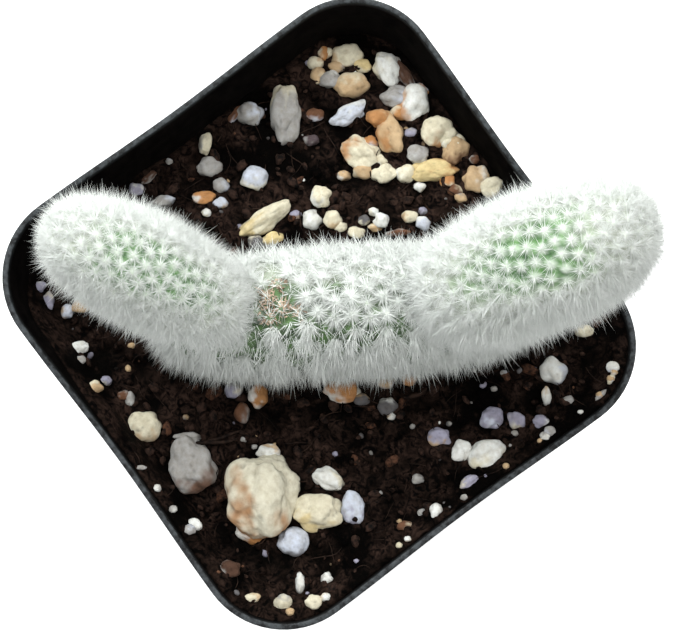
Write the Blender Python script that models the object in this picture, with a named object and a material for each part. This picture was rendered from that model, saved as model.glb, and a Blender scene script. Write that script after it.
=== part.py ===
"""A potted bunny ears cactus: a square nursery pot, its soil and stones, and three spiny pads.

Metres, +Z up. The pot stands on z = 0 with its sides along X and Y. Places in plan are given
as (u, v): u runs along the row of pads, from the left ear to the right ear, and v runs square
to it. PLAN_TURN turns u and v against the sides of the pot.
"""
import math
import random

import bmesh
import bpy
import numpy as np
from mathutils import Matrix, Vector, noise
from mathutils.bvhtree import BVHTree
from mathutils.kdtree import KDTree

MM = 0.001
GAP = 0.3 * MM                 # left between pieces that touch
PLAN_TURN = math.radians(53.6)

# The pot
POT_SIDE = 63.5 * MM           # across the lip, at the middle of its sides
SIDE_SPRING = 0.4 * MM         # that the lip's corners stand further out than its sides
POT_HEIGHT = 58.0 * MM
POT_FOOT = 47.0 * MM           # across the foot
POT_WALL = 0.8 * MM
POT_FLOOR = 1.4 * MM
LIP_CORNER = 11.3 * MM         # corner radius at the lip
FOOT_CORNER = 6.5 * MM
COLLAR_HEIGHT = 11.0 * MM      # the band under the lip, proud of the wall
COLLAR_STEP = 0.35 * MM
LIP_STEP = 0.25 * MM
LIP_DEPTH = 1.6 * MM
LIP_WALL = 0.8 * MM
LIP_FLARE = 3.5 * MM           # the depth over which the inside opens out to the thin lip
EDGE_EASE = 0.3 * MM
DRAINS = ((0.62, 0.62, 6.0 * MM), (0.68, 0.0, 4.8 * MM))    # shares of the floor's half, and size
CORNER_STEPS = 6               # segments in each round corner
SIDE_STEPS = 6                 # segments along each side

# The soil
SOIL_BELOW_LIP = 7.6 * MM      # at the middle of the pot
SOIL_TILT = 0.140              # rise per unit along +X
SOIL_SWELL = 0.45 * MM
SOIL_RINGS = 6

# The pads. rise is the angle of a pad's growth above level, turn its bearing in plan from u,
# narrowing how much slimmer it is at its foot, squareness the exponent of its cross-section.
# The powers of its outline and its belly are 1 for an ellipse, and less for a blunter shape;
# in the half at its foot they are multiplied by foot_power.
OUTLINE_POWER = 0.92
BELLY_POWER = 0.80
BASE_PAD = dict(
    name="base_pad", width=49.0 * MM, thickness=14.2 * MM, length=36.0 * MM,
    rise=math.radians(90), turn=math.radians(3), narrowing=0.10, squareness=2.5, foot_power=1.0,
    areole_pitch=4.5 * MM, spine=2.2 * MM)
LEFT_EAR = dict(
    name="left_ear", width=17.5 * MM, thickness=12.0 * MM, length=26.6 * MM,
    rise=math.radians(33), turn=math.radians(156), narrowing=0.0, squareness=2.2, foot_power=0.72,
    areole_pitch=3.9 * MM, spine=2.0 * MM)
RIGHT_EAR = dict(
    name="right_ear", width=20.5 * MM, thickness=14.6 * MM, length=31.8 * MM,
    rise=math.radians(42), turn=math.radians(19), narrowing=0.0, squareness=2.2, foot_power=0.72,
    areole_pitch=3.9 * MM, spine=2.0 * MM)
BASE_FOOT = (3.6 * MM, 0.0, 37.0 * MM)      # u, v and height of the base pad's foot
LEFT_NECK = (-16.3 * MM, 0.8 * MM)          # where each ear meets the crown, along the base pad
RIGHT_NECK = (13.3 * MM, 0.5 * MM)          # and to the side of its middle
NECK_SINK = 2.3 * MM                        # how deep an ear's round foot would reach into the base
SPINE_SPLAY = math.radians(40)
SPINE_MIN = 0.7 * MM                        # an areole with less room than this stays bare
SPINE_ROOT = 0.6                            # of the areole's radius, where a spine stands
AREOLE_RADIUS = 0.75 * MM
AREOLE_RISE = 0.35 * MM
TUFT_SHARE = 0.46                           # of the pitch, that a tuft may reach to its side
PUSH_REACH = 1.5                            # areoles push each other apart within this many pitches
PUSH_SOFTNESS = 0.2
PUSH_STEP = 0.3
PUSH_ROUNDS = 150
POLE_GAP = 0.02                             # kept from a pad's two poles, in radians

# Large stones: name, u, v, length, width and turn in degrees, as they lie in the soil
STONES = (
    ("big_pumice", -7.2, -23.2, 11.0, 8.8, 80),
    ("cream_stone_front", -0.2, -25.6, 5.8, 4.2, 5),
    ("white_stone_front", 1.2, -21.3, 3.8, 2.6, -25),
    ("blue_white_stone_front", 4.4, -25.0, 3.9, 2.7, 100),
    ("pitted_stone_front", -3.4, -29.4, 3.5, 3.3, 0),
    ("grey_stone_left", -16.5, -19.6, 7.2, 5.8, 100),
    ("cream_stone_left", -23.6, -15.2, 4.0, 3.6, 20),
    ("white_stone_right", 21.3, -18.2, 4.4, 3.2, 25),
    ("bright_stone_right", 30.2, -7.5, 3.3, 2.8, -30),
    ("tall_grey_stone", -4.6, 27.0, 7.4, 4.0, 92),
    ("long_cream_stone", -7.2, 12.6, 7.2, 2.8, 32),
    ("orange_cream_stone", 5.4, 21.4, 5.2, 3.7, -30),
    ("orange_stone", 9.2, 23.9, 4.4, 3.2, 110),
    ("yellow_stone", 14.9, 19.0, 6.0, 2.6, 6),
    ("round_cream_stone", 15.4, 24.3, 3.8, 3.6, 40),
    ("tan_stone", 19.0, 22.6, 3.2, 2.8, 60),
    ("white_orange_stone", 12.6, 28.2, 4.3, 3.7, 60),
    ("tan_white_stone", 20.4, 17.8, 3.2, 3.0, 80),
    ("beige_stone", 4.2, 30.6, 4.3, 3.0, 10),
    ("white_stone_back", 9.0, 32.6, 4.4, 3.3, 115),
    ("brown_cream_stone", 3.6, 34.4, 3.9, 3.0, 0),
    ("blue_white_stone_back", 4.0, 26.8, 4.8, 2.2, 28),
)
STONE_HEIGHT = 0.8             # of a stone's width
STONE_SINK = 0.18              # of its height, that its middle lies above the soil
STONE_REACH = 0.6              # of its width, that it may reach towards the wall
LUMP_DEPTH = 0.30              # of a stone's size
LUMP_COUNT = 2.6               # lumps across a stone, more or less
SEED_STEP = Vector((7.3, 3.1, 5.7))

# Granules that are fused into the soil: u, v and size. The larger ones have more sides.
FINE_GRANULE = 2.75
GRANULE_SHAPE = Vector((1.0, 0.85, 0.8))
GRANULE_TURN = 1.3             # from one granule to the next, in radians
FIRST_GRANULE_SEED = 100
GRANULES = (
    (-9.3, 27.1, 3.2), (-15.7, 24.1, 2.4), (-14.6, 19.8, 2.9), (-13.0, 17.3, 2.1),
    (-15.2, 15.7, 2.3), (-8.5, 18.2, 3.2), (0.2, 15.8, 2.8), (-1.2, 12.8, 2.6),
    (2.0, 12.8, 2.5), (-1.1, 33.0, 2.4), (14.8, 31.4, 2.2), (9.6, 28.4, 2.2),
    (11.6, 34.8, 2.2), (8.6, 18.4, 2.6), (12.3, 21.8, 2.2), (23.4, 17.6, 2.4),
    (8.1, 12.8, 2.2), (13.6, 12.6, 2.0), (-31.5, -4.2, 2.2), (-29.4, -9.6, 1.9),
    (-24.8, -10.8, 1.9), (-11.2, -10.6, 2.2), (-7.9, -11.2, 2.6), (3.0, -10.8, 3.2),
    (9.0, -12.2, 2.6), (11.6, -10.4, 1.9), (15.4, -16.0, 2.6), (18.0, -17.4, 2.3),
    (19.2, -21.7, 2.0), (22.2, -13.5, 2.7), (25.3, -13.8, 2.2), (28.4, -14.0, 2.0),
    (38.4, -7.6, 1.9), (34.0, -2.6, 2.1), (-2.4, -34.4, 2.0), (-4.5, -36.6, 2.1),
    (12.8, -21.3, 1.7), (14.8, -25.4, 1.8), (-16.6, -27.2, 2.1), (-31.4, 1.2, 2.3),
)

# Colours and finishes: base colour, roughness
BLACK_PLASTIC = ((0.035, 0.040, 0.045), 0.45)
DARK_SOIL = ((0.030, 0.018, 0.013), 0.95)
SPINY_GREEN = ((0.66, 0.72, 0.60), 0.75)
PALE_PUMICE = ((0.72, 0.66, 0.53), 0.90)


def clear_scene():
    for obj in list(bpy.data.objects):
        bpy.data.objects.remove(obj, do_unlink=True)


def new_collection(name, parent=None):
    collection = bpy.data.collections.new(name)
    (parent or bpy.context.scene.collection).children.link(collection)
    return collection


def material(name, finish):
    colour, roughness = finish
    result = bpy.data.materials.new(name)
    result.use_nodes = True
    shader = result.node_tree.nodes["Principled BSDF"]
    shader.inputs["Base Color"].default_value = (*colour, 1.0)
    shader.inputs["Roughness"].default_value = roughness
    shader.inputs["Metallic"].default_value = 0.0
    return result


def add_object(name, bm, collection, finish=None, smooth_angle=40):
    """Turns a bmesh into an object; cutters and guides get no finish and stay out of renders."""
    mesh = bpy.data.meshes.new(name)
    bmesh.ops.recalc_face_normals(bm, faces=bm.faces)
    bm.to_mesh(mesh)
    bm.free()
    obj = bpy.data.objects.new(name, mesh)
    collection.objects.link(obj)
    if finish is None:
        obj.hide_render = True
        obj.display_type = "WIRE"
    else:
        mesh.materials.append(finish)
        mesh.shade_smooth()
        mesh.set_sharp_from_angle(angle=math.radians(smooth_angle))
    return obj


def cut(obj, cutters, name):
    """Takes a cutter, or every cutter of a collection, out of an object."""
    modifier = obj.modifiers.new(name, "BOOLEAN")
    modifier.operation = "DIFFERENCE"
    modifier.solver = "EXACT"
    if isinstance(cutters, bpy.types.Collection):
        modifier.operand_type = "COLLECTION"
        modifier.collection = cutters
    else:
        modifier.object = cutters


def fuse(obj, collection):
    """Joins a collection's objects to an object for good, and removes them."""
    modifier = obj.modifiers.new("join", "BOOLEAN")
    modifier.operation = "UNION"
    modifier.solver = "EXACT"
    modifier.operand_type = "COLLECTION"
    modifier.collection = collection
    depsgraph = bpy.context.evaluated_depsgraph_get()
    joined = bpy.data.meshes.new_from_object(obj.evaluated_get(depsgraph))
    obj.modifiers.clear()
    obj.data = joined
    for piece in list(collection.objects):
        bpy.data.objects.remove(piece, do_unlink=True)
    bpy.data.collections.remove(collection)


def swollen(solid, distance):
    """A copy of a bmesh that lies a distance outside it."""
    bm = solid.copy()
    bm.normal_update()
    moves = [distance * vert.normal for vert in bm.verts]
    for vert, move in zip(bm.verts, moves):
        vert.co += move
    return bm


def plan_point(u, v, z=0.0):
    """A place given in plan, in the frame of the pot."""
    return Matrix.Rotation(PLAN_TURN, 3, "Z") @ Vector((u, v, z))


def rounded_square(half, radius, spring, z):
    """A square ring with round corners and sides sprung in, anticlockwise seen from above."""
    ring = []
    for corner in range(4):
        start = corner * math.pi / 2
        turn = Matrix.Rotation(start, 3, "Z")
        for step in range(CORNER_STEPS + 1):
            angle = step / CORNER_STEPS * math.pi / 2
            x = half - radius + radius * math.cos(angle)
            y = half - radius + radius * math.sin(angle)
            ring.append(turn @ Vector((x, y, z)))
        for step in range(1, SIDE_STEPS):
            share = step / SIDE_STEPS
            x = (half - radius) * (1 - 2 * share)
            y = half - spring * math.sin(math.pi * share) ** 2
            ring.append(turn @ Vector((x, y, z)))
    return ring


def loft(bm, rings):
    """Skins a row of rings with equal numbers of points and closes both ends."""
    rows = [[bm.verts.new(point) for point in ring] for ring in rings]
    for low, high in zip(rows, rows[1:]):
        for i, corner in enumerate(low):
            j = (i + 1) % len(low)
            bm.faces.new((corner, low[j], high[j], high[i]))
    bm.faces.new(rows[0][::-1])
    bm.faces.new(rows[-1])


def wall_half(z):
    """Half the width of the pot's plain outer wall at a height, at its corners."""
    top = POT_SIDE / 2 + SIDE_SPRING - COLLAR_STEP - LIP_STEP
    return POT_FOOT / 2 + (top - POT_FOOT / 2) * z / POT_HEIGHT


def wall_corner(z):
    """Corner radius of the pot's plain outer wall at a height."""
    top = LIP_CORNER - COLLAR_STEP - LIP_STEP
    return FOOT_CORNER + (top - FOOT_CORNER) * z / POT_HEIGHT


def pot_ring(z, proud):
    """A ring parallel to the plain outer wall, standing proud of it by a distance."""
    spring = SIDE_SPRING * z / POT_HEIGHT
    return rounded_square(wall_half(z) + proud, wall_corner(z) + proud, spring, z)


def make_pot(collection, cutters):
    collar = POT_HEIGHT - COLLAR_HEIGHT
    lip = POT_HEIGHT - LIP_DEPTH
    lip_proud = COLLAR_STEP + LIP_STEP
    profile = (
        (0.0, -2 * EDGE_EASE),
        (2 * EDGE_EASE, 0.0),
        (collar, 0.0),
        (collar + COLLAR_STEP, COLLAR_STEP),
        (lip, COLLAR_STEP),
        (lip + LIP_STEP, lip_proud),
        (POT_HEIGHT - EDGE_EASE, lip_proud),
        (POT_HEIGHT, lip_proud - EDGE_EASE),
        (POT_HEIGHT, lip_proud - LIP_WALL + EDGE_EASE),
        (POT_HEIGHT - EDGE_EASE, lip_proud - LIP_WALL),
        (POT_HEIGHT - LIP_FLARE, -POT_WALL),
        (POT_FLOOR, -POT_WALL),
    )
    bm = bmesh.new()
    loft(bm, [pot_ring(z, proud) for z, proud in profile])
    finish = material("black_plastic", BLACK_PLASTIC)
    pot = add_object("pot", bm, collection, finish)

    drains = new_collection("drain_cutters", cutters)
    inner = POT_FOOT / 2 - POT_WALL
    for quarter in range(4):
        turn = Matrix.Rotation(quarter * math.pi / 2, 4, "Z")
        for x, y, size in DRAINS:
            bm = bmesh.new()
            place = turn @ Matrix.Translation((x * inner, y * inner, POT_FLOOR / 2))
            bmesh.ops.create_cone(
                bm, cap_ends=True, segments=16, radius1=size / 2, radius2=size / 2,
                depth=4 * POT_FLOOR, matrix=place)
            add_object(f"drain_{quarter}_{'side' if y == 0 else 'corner'}", bm, drains)
    cut(pot, drains, "drain_holes")
    return pot


def soil_height(x, y):
    """Height of the soil's surface: it rises towards +X and swells gently."""
    u, v = x / MM, y / MM
    swell = math.sin(0.31 * u + 0.9) * math.cos(0.23 * v) + 0.8 * math.sin(0.47 * v - 0.21 * u)
    return POT_HEIGHT - SOIL_BELOW_LIP + SOIL_TILT * x + SOIL_SWELL * swell


def soil_edge():
    """Where the soil's surface meets the pot's inner wall."""
    edge = pot_ring(POT_HEIGHT - SOIL_BELOW_LIP, -POT_WALL - GAP)
    for _ in range(3):
        heights = [soil_height(p.x, p.y) for p in edge]
        rings = [pot_ring(z, -POT_WALL - GAP) for z in heights]
        edge = [ring[i] for i, ring in enumerate(rings)]
    return edge


def stone_bmesh(seed, place, size, turn, subdivisions=2):
    """A lumpy stone; size is its length, width and height."""
    bm = bmesh.new()
    bmesh.ops.create_icosphere(bm, subdivisions=subdivisions, radius=0.5)
    for vert in bm.verts:
        lump = 1.0 + LUMP_DEPTH * noise.noise(vert.co * LUMP_COUNT + seed * SEED_STEP)
        vert.co = lump * vert.co * Vector(size)
    spin = Matrix.Rotation(PLAN_TURN + turn, 4, "Z")
    bm.transform(Matrix.Translation(place) @ spin)
    return bm


def kept_inside(place, reach):
    """Moves a place in plan towards the middle until it is a distance from the pot's wall."""
    level = soil_height(place.x, place.y)
    half = wall_half(level) - SIDE_SPRING - POT_WALL - reach
    core = wall_half(level) - wall_corner(level)
    x, y = (max(-half, min(half, value)) for value in place.xy)
    past = Vector((max(abs(x) - core, 0.0), max(abs(y) - core, 0.0)))
    if past.length > half - core:
        past *= (half - core) / past.length
        x = math.copysign(core + past.x, x) if past.x > 0 else x
        y = math.copysign(core + past.y, y) if past.y > 0 else y
    return Vector((x, y, 0.0))


def stone_place(u, v, height, reach):
    """The middle of a stone that lies partly sunk in the soil, clear of the wall."""
    place = kept_inside(plan_point(u, v), reach)
    place.z = soil_height(place.x, place.y) + STONE_SINK * height
    return place


def make_soil(collection):
    floor = pot_ring(POT_FLOOR + GAP, -POT_WALL - GAP)
    edge = soil_edge()
    rings = [floor, edge]
    for step in range(SOIL_RINGS - 1, 0, -1):
        share = step / SOIL_RINGS
        plan = [(share * p.x, share * p.y) for p in edge]
        rings.append([Vector((x, y, soil_height(x, y))) for x, y in plan])
    bm = bmesh.new()
    loft(bm, rings)
    middle = max(bm.faces, key=lambda f: (len(f.verts), f.calc_center_median().z))
    bmesh.ops.poke(bm, faces=[middle])
    bmesh.ops.triangulate(bm, faces=bm.faces)
    soil = add_object("soil", bm, collection, material("dark_soil", DARK_SOIL))

    granules = new_collection("granules")
    for number, (u, v, size) in enumerate(GRANULES):
        shape = size * MM * GRANULE_SHAPE
        place = stone_place(u * MM, v * MM, shape.z, shape.x / 2 + 2 * GAP)
        seed = FIRST_GRANULE_SEED + number
        fineness = 2 if size > FINE_GRANULE else 1
        bm = stone_bmesh(seed, place, shape, GRANULE_TURN * number, fineness)
        add_object(f"granule_{number}", bm, granules)
    fuse(soil, granules)
    return soil


def make_stones(collection, cutters):
    stones = []
    for seed, (name, u, v, length, width, turn) in enumerate(STONES):
        shape = MM * Vector((length, width, STONE_HEIGHT * width))
        place = stone_place(u * MM, v * MM, shape.z, STONE_REACH * shape.y + GAP)
        bm = stone_bmesh(seed, place, shape, math.radians(turn))
        add_object(name + "_socket", swollen(bm, GAP), cutters)
        finish = material(name + "_pumice", PALE_PUMICE)
        stones.append(add_object(name, bm, collection, finish))
    return stones


def signed_power(values, exponent):
    return np.sign(values) * np.abs(values) ** exponent


def pad_skin(pad, theta, phi):
    """Points of a pad's skin in its own axes: x across, y through, z from foot to crown.

    theta runs from 0 at the foot to pi at the crown, phi once round the pad."""
    taper = 1 - pad["narrowing"] * np.cos(theta)
    blunt = np.where(np.cos(theta) > 0, pad["foot_power"], 1.0)
    half_width = 0.5 * pad["width"] * np.sin(theta) ** (OUTLINE_POWER * blunt) * taper
    half_thickness = 0.5 * pad["thickness"] * np.sin(theta) ** (BELLY_POWER * blunt) * taper
    power = 2 / pad["squareness"]
    x = half_width * signed_power(np.cos(phi), power)
    y = half_thickness * signed_power(np.sin(phi), power)
    z = 0.5 * pad["length"] * (1 - np.cos(theta))
    return np.stack(np.broadcast_arrays(x, y, z), -1)


def random_places(pad, rng):
    """Random places on a pad's skin, as many as areoles at the pad's pitch would fill."""
    theta = np.linspace(POLE_GAP, math.pi - POLE_GAP, 121)
    phi = np.linspace(0, 2 * math.pi, 181)
    grid = pad_skin(pad, theta[:, None], phi[None, :])
    climb = grid[1:, :-1] - grid[:-1, :-1]
    girth = grid[:-1, 1:] - grid[:-1, :-1]
    areas = np.linalg.norm(np.cross(climb, girth), axis=-1)
    count = round(areas.sum() / (math.sqrt(0.75) * pad["areole_pitch"] ** 2))
    cells = rng.choice(areas.size, count, p=(areas / areas.sum()).ravel())
    row, column = np.unravel_index(cells, areas.shape)
    theta = theta[row] + rng.random(count) * (theta[1] - theta[0])
    phi = phi[column] + rng.random(count) * (phi[1] - phi[0])
    return theta, phi


def spread_places(pad, seed):
    """Even places for the areoles of a pad, as theta and phi: random ones that push apart."""
    rng = np.random.default_rng(seed)
    theta, phi = random_places(pad, rng)
    reach = PUSH_REACH * pad["areole_pitch"]
    nudge = 1e-4
    for step in np.linspace(PUSH_STEP, 0.1 * PUSH_STEP, PUSH_ROUNDS):
        places = pad_skin(pad, theta, phi)
        apart = places[:, None] - places[None, :]
        distance = np.linalg.norm(apart, axis=-1) + PUSH_SOFTNESS * pad["areole_pitch"]
        push = np.maximum(0.0, reach / distance - 1.0) ** 2 / distance
        move = step * pad["areole_pitch"] * (apart * push[..., None]).sum(axis=1)
        up = (pad_skin(pad, theta + nudge, phi) - places) / nudge
        along = (pad_skin(pad, theta, phi + nudge) - places) / nudge
        uu, ua, aa = (up * up).sum(1), (up * along).sum(1), (along * along).sum(1)
        mu, ma = (move * up).sum(1), (move * along).sum(1)
        solid = uu * aa - ua ** 2 + 1e-14
        theta = np.clip(theta + (mu * aa - ma * ua) / solid, POLE_GAP, math.pi - POLE_GAP)
        phi = phi + np.clip((ma * uu - mu * ua) / solid, -0.5, 0.5)
    return theta, phi


def crown_point(distance, aside):
    """A point on the base pad's crown, a distance along it from its axis, in its own axes."""
    theta = np.linspace(math.pi / 2, math.pi, 400)
    crown = pad_skin(BASE_PAD, theta, 0.0)
    z = np.interp(-abs(distance), -crown[:, 0], crown[:, 2])
    return Vector((distance, aside, z))


def pad_matrix(pad, foot):
    """Places a pad: it grows from its foot at its rise above level and its turn in plan."""
    bearing = PLAN_TURN + pad["turn"]
    level = Vector((math.cos(bearing), math.sin(bearing), 0.0))
    growth = math.cos(pad["rise"]) * level + math.sin(pad["rise"]) * Vector((0, 0, 1))
    through = Vector((-level.y, level.x, 0.0))
    across = through.cross(growth)
    turn = Matrix((across, through, growth)).transposed().to_4x4()
    return Matrix.Translation(foot) @ turn


def pad_net(pad, matrix, seed):
    """The pad's skin as a closed net of triangles with an areole at each knot."""
    theta, phi = spread_places(pad, seed)
    half = np.array((pad["width"], pad["thickness"], pad["length"])) / 2
    egg = np.stack((np.sin(theta) * np.cos(phi), np.sin(theta) * np.sin(phi), -np.cos(theta)), -1)
    bm = bmesh.new()
    knots = [bm.verts.new(point) for point in egg * half]
    bmesh.ops.convex_hull(bm, input=knots)
    for knot, point in zip(knots, pad_skin(pad, theta, phi)):
        knot.co = point
    for _ in range(2):
        bmesh.ops.beautify_fill(bm, faces=bm.faces, edges=bm.edges, method="ANGLE")
    bm.transform(matrix)
    bmesh.ops.recalc_face_normals(bm, faces=bm.faces)
    bm.normal_update()
    return bm


def knot_tree(places):
    tree = KDTree(len(places))
    for index, place in enumerate(places):
        tree.insert(place, index)
    tree.balance()
    return tree


def outside_by(tree, place):
    """How far a place lies outside a closed skin, less than nothing inside it."""
    nearest, normal, _, distance = tree.find_nearest(place)
    return math.copysign(distance, (place - nearest).dot(normal))


def spine_length(pad, place, knots, ground, furry):
    """How long the spines at a place of a pad may be, given what lies near it."""
    if place.z < soil_height(place.x, place.y) + GAP:
        return 0.0
    pitch = knots.find_n(place, 2)[1][2]
    reach = (TUFT_SHARE * pitch - SPINE_ROOT * AREOLE_RADIUS) / math.sin(SPINE_SPLAY)
    clear_of_ground = ground.find_nearest(place)[3] - 2 * GAP
    clear_of_pads = min(outside_by(tree, place) for tree in furry) / 2 - GAP
    return min(pad["spine"], reach, clear_of_ground, clear_of_pads)


def spine_tip(fan, middle, normal, length, rng):
    """Where a spine's tip lies from the middle of its foot: up the normal and splayed out."""
    outward = fan.calc_center_median() - middle
    outward -= outward.dot(normal) * normal
    splay = SPINE_SPLAY * rng.uniform(0.75, 1.0)
    reach = length * rng.uniform(0.85, 1.0)
    return reach * (math.cos(splay) * normal + math.sin(splay) * outward.normalized())


def grow_spines(pad, net, ground, furry, seed):
    """Raises a tuft of three-sided spines from each areole of a net that has room for them."""
    rng = random.Random(seed)
    places = [vert.co.copy() for vert in net.verts]
    knots = knot_tree(places)
    lengths = [spine_length(pad, place, knots, ground, furry) for place in places]
    tufted = [vert for vert, length in zip(net.verts, lengths) if length > SPINE_MIN]
    cushions = bmesh.ops.bevel(
        net, geom=tufted, offset=AREOLE_RADIUS, offset_type="OFFSET", affect="VERTICES",
        segments=1, profile=0.5)["faces"]
    middles = bmesh.ops.poke(net, faces=cushions, offset=AREOLE_RISE, center_mode="MEAN")["verts"]
    spines = []
    for vert in middles:
        length = lengths[knots.find(vert.co)[1]]
        for fan in vert.link_faces:
            spines.append((fan, spine_tip(fan, vert.co, vert.normal, length, rng)))
    for fan, tip in spines:
        apex = bmesh.ops.poke(net, faces=[fan])["verts"][0]
        apex.co += tip
    bmesh.ops.triangulate(net, faces=net.faces)


def joined_tree(objects):
    """One search tree over several objects' meshes."""
    points = []
    polygons = []
    for obj in objects:
        start = len(points)
        points += [obj.matrix_world @ vert.co for vert in obj.data.vertices]
        polygons += [[start + i for i in poly.vertices] for poly in obj.data.polygons]
    return BVHTree.FromPolygons(points, polygons)


def pad_places():
    """The matrix of each pad: the base pad in the soil, and the ears on its crown."""
    base = pad_matrix(BASE_PAD, plan_point(*BASE_FOOT))
    sink = Matrix.Translation((0, 0, -NECK_SINK))
    left = pad_matrix(LEFT_EAR, base @ crown_point(*LEFT_NECK)) @ sink
    right = pad_matrix(RIGHT_EAR, base @ crown_point(*RIGHT_NECK)) @ sink
    return base, left, right


def make_pads(collection, cutters, soil_cutters, ground):
    pads = (BASE_PAD, LEFT_EAR, RIGHT_EAR)
    nets = [pad_net(pad, place, seed) for seed, (pad, place) in enumerate(zip(pads, pad_places()))]
    trees = [BVHTree.FromBMesh(net) for net in nets]
    add_object("base_pad_hole", swollen(nets[0], GAP), soil_cutters)
    clearance = add_object("base_pad_clearance", swollen(nets[0], GAP), cutters)
    for seed, (pad, net) in enumerate(zip(pads, nets)):
        furry = [tree for tree in trees if tree is not trees[seed]]
        grow_spines(pad, net, ground, furry, seed)
        finish = material(pad["name"] + "_skin", SPINY_GREEN)
        obj = add_object(pad["name"], net, collection, finish, smooth_angle=30)
        if pad is not BASE_PAD:
            cut(obj, clearance, "neck")


def build():
    clear_scene()
    parts = new_collection("potted_bunny_ears_cactus")
    cutters = new_collection("cutters")
    soil_cutters = new_collection("soil_cutters", cutters)
    make_pot(parts, cutters)
    soil = make_soil(parts)
    stones = make_stones(parts, soil_cutters)
    make_pads(parts, cutters, soil_cutters, joined_tree([soil] + stones))
    cut(soil, soil_cutters, "sockets")


build()
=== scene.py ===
"""The looks of the potted bunny ears cactus: woolly pads, dark soil with pale grit, black pot.

Metres, +Z up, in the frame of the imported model. Places in plan are given as (u, v): u runs
along the row of pads from the left ear to the right ear, v square to it.
"""

import math
import random

import bmesh
import bpy
import numpy as np
from mathutils import Matrix, Vector, noise


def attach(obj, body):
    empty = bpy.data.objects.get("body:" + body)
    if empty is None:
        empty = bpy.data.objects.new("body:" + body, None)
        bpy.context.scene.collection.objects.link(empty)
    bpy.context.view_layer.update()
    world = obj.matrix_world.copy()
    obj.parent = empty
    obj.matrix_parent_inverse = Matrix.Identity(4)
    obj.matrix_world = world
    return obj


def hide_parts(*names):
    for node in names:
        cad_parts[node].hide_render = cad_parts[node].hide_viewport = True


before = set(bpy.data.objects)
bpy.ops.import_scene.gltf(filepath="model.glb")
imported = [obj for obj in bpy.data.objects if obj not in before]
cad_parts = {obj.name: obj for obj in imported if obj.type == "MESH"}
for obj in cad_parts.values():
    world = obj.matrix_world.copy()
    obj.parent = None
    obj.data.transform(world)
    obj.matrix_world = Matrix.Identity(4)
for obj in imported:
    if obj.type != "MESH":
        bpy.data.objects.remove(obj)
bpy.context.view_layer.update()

MM = 0.001
GAP = 0.3 * MM
PLAN_TURN = math.radians(53.6)

# The camera: how wide the picture is, what a millimetre at the lip measures in it, where the
# camera stands, and what it aims at, from the middle of the pot's mouth
PHOTO_WIDTH = 679
PIXELS_PER_MM = 7.85
CAMERA_DISTANCE = 360 * MM
CAMERA_ELEVATION = math.radians(86)
AIM_RIGHT, AIM_UP = 2.62 * MM, -0.76 * MM

# The pot, the soil and the pads have the sizes of the solids that they stand for
POT_SIDE = 63.5 * MM
SIDE_SPRING = 0.4 * MM
POT_HEIGHT = 58.0 * MM
POT_FOOT = 47.0 * MM
POT_WALL = 0.8 * MM
POT_FLOOR = 1.4 * MM
LIP_CORNER = 11.3 * MM
FOOT_CORNER = 6.5 * MM
COLLAR_HEIGHT = 11.0 * MM
COLLAR_STEP = 0.35 * MM
LIP_STEP = 0.25 * MM
LIP_DEPTH = 1.6 * MM
LIP_WALL = 0.8 * MM
LIP_FLARE = 3.5 * MM
DRAINS = ((0.62, 0.62, 6.0 * MM), (0.68, 0.0, 4.8 * MM))     # shares of the floor's half, and size
PLASTIC_ROUGHNESS = 0.42
PLASTIC_SHINE = 0.22

SOIL_BELOW_LIP = 7.6 * MM
SOIL_TILT = 0.140
SOIL_SWELL = 0.45 * MM
SOIL_STEPS = 190               # points along each side of the soil's surface
CLOD_SIZE = 2.6 * MM
CRUMB_SIZE = 1.1 * MM
BANK_BELOW_LIP = 1.0 * MM      # where the bank against the wall is highest
BANK_FALL = 8.0 * MM           # how much lower it is on the far side
BANK_REACH = 3.6 * MM          # from the lip

OUTLINE_POWER = 0.92           # how full a pad's outline and belly are; less is fuller
BELLY_POWER = 0.80
BASE_PAD = dict(
    name="base_pad", width=49.0 * MM, thickness=14.2 * MM, length=36.0 * MM,
    rise=math.radians(90), turn=math.radians(3), narrowing=0.10, squareness=2.5, foot_power=1.0,
    areole_pitch=2.25 * MM, felt=0.38)
LEFT_EAR = dict(
    name="left_ear", width=17.5 * MM, thickness=12.0 * MM, length=26.6 * MM,
    rise=math.radians(33), turn=math.radians(156), narrowing=0.0, squareness=2.2, foot_power=0.72,
    areole_pitch=1.9 * MM, felt=0.35)
RIGHT_EAR = dict(
    name="right_ear", width=20.5 * MM, thickness=14.6 * MM, length=31.8 * MM,
    rise=math.radians(42), turn=math.radians(19), narrowing=0.0, squareness=2.2, foot_power=0.72,
    areole_pitch=1.95 * MM, felt=0.35)
BASE_FOOT = (3.6 * MM, 0.0, 37.0 * MM)
LEFT_NECK = (-16.3 * MM, 0.8 * MM)
RIGHT_NECK = (13.3 * MM, 0.5 * MM)
NECK_SINK = 2.3 * MM           # how deep an ear's foot sits in the base pad
TINY_STEP = 1e-4               # of theta and phi, for directions on the skin
FLESH_GRID = (76, 110)         # points from foot to crown, and round a pad
KNOB_WIDTH = 0.36              # of the pitch, that an areole's knob of skin is wide
KNOB_HEIGHT = 0.65 * MM
FLESH_SINK = 0.35 * MM         # of the skin between the knobs


def srgb(red, green, blue):
    """A colour given as on a screen, 0 to 255, as the shaders take it."""
    shares = np.array((red, green, blue)) / 255
    linear = np.where(shares > 0.04045, ((shares + 0.055) / 1.055) ** 2.4, shares / 12.92)
    return (*linear.tolist(), 1.0)


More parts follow.
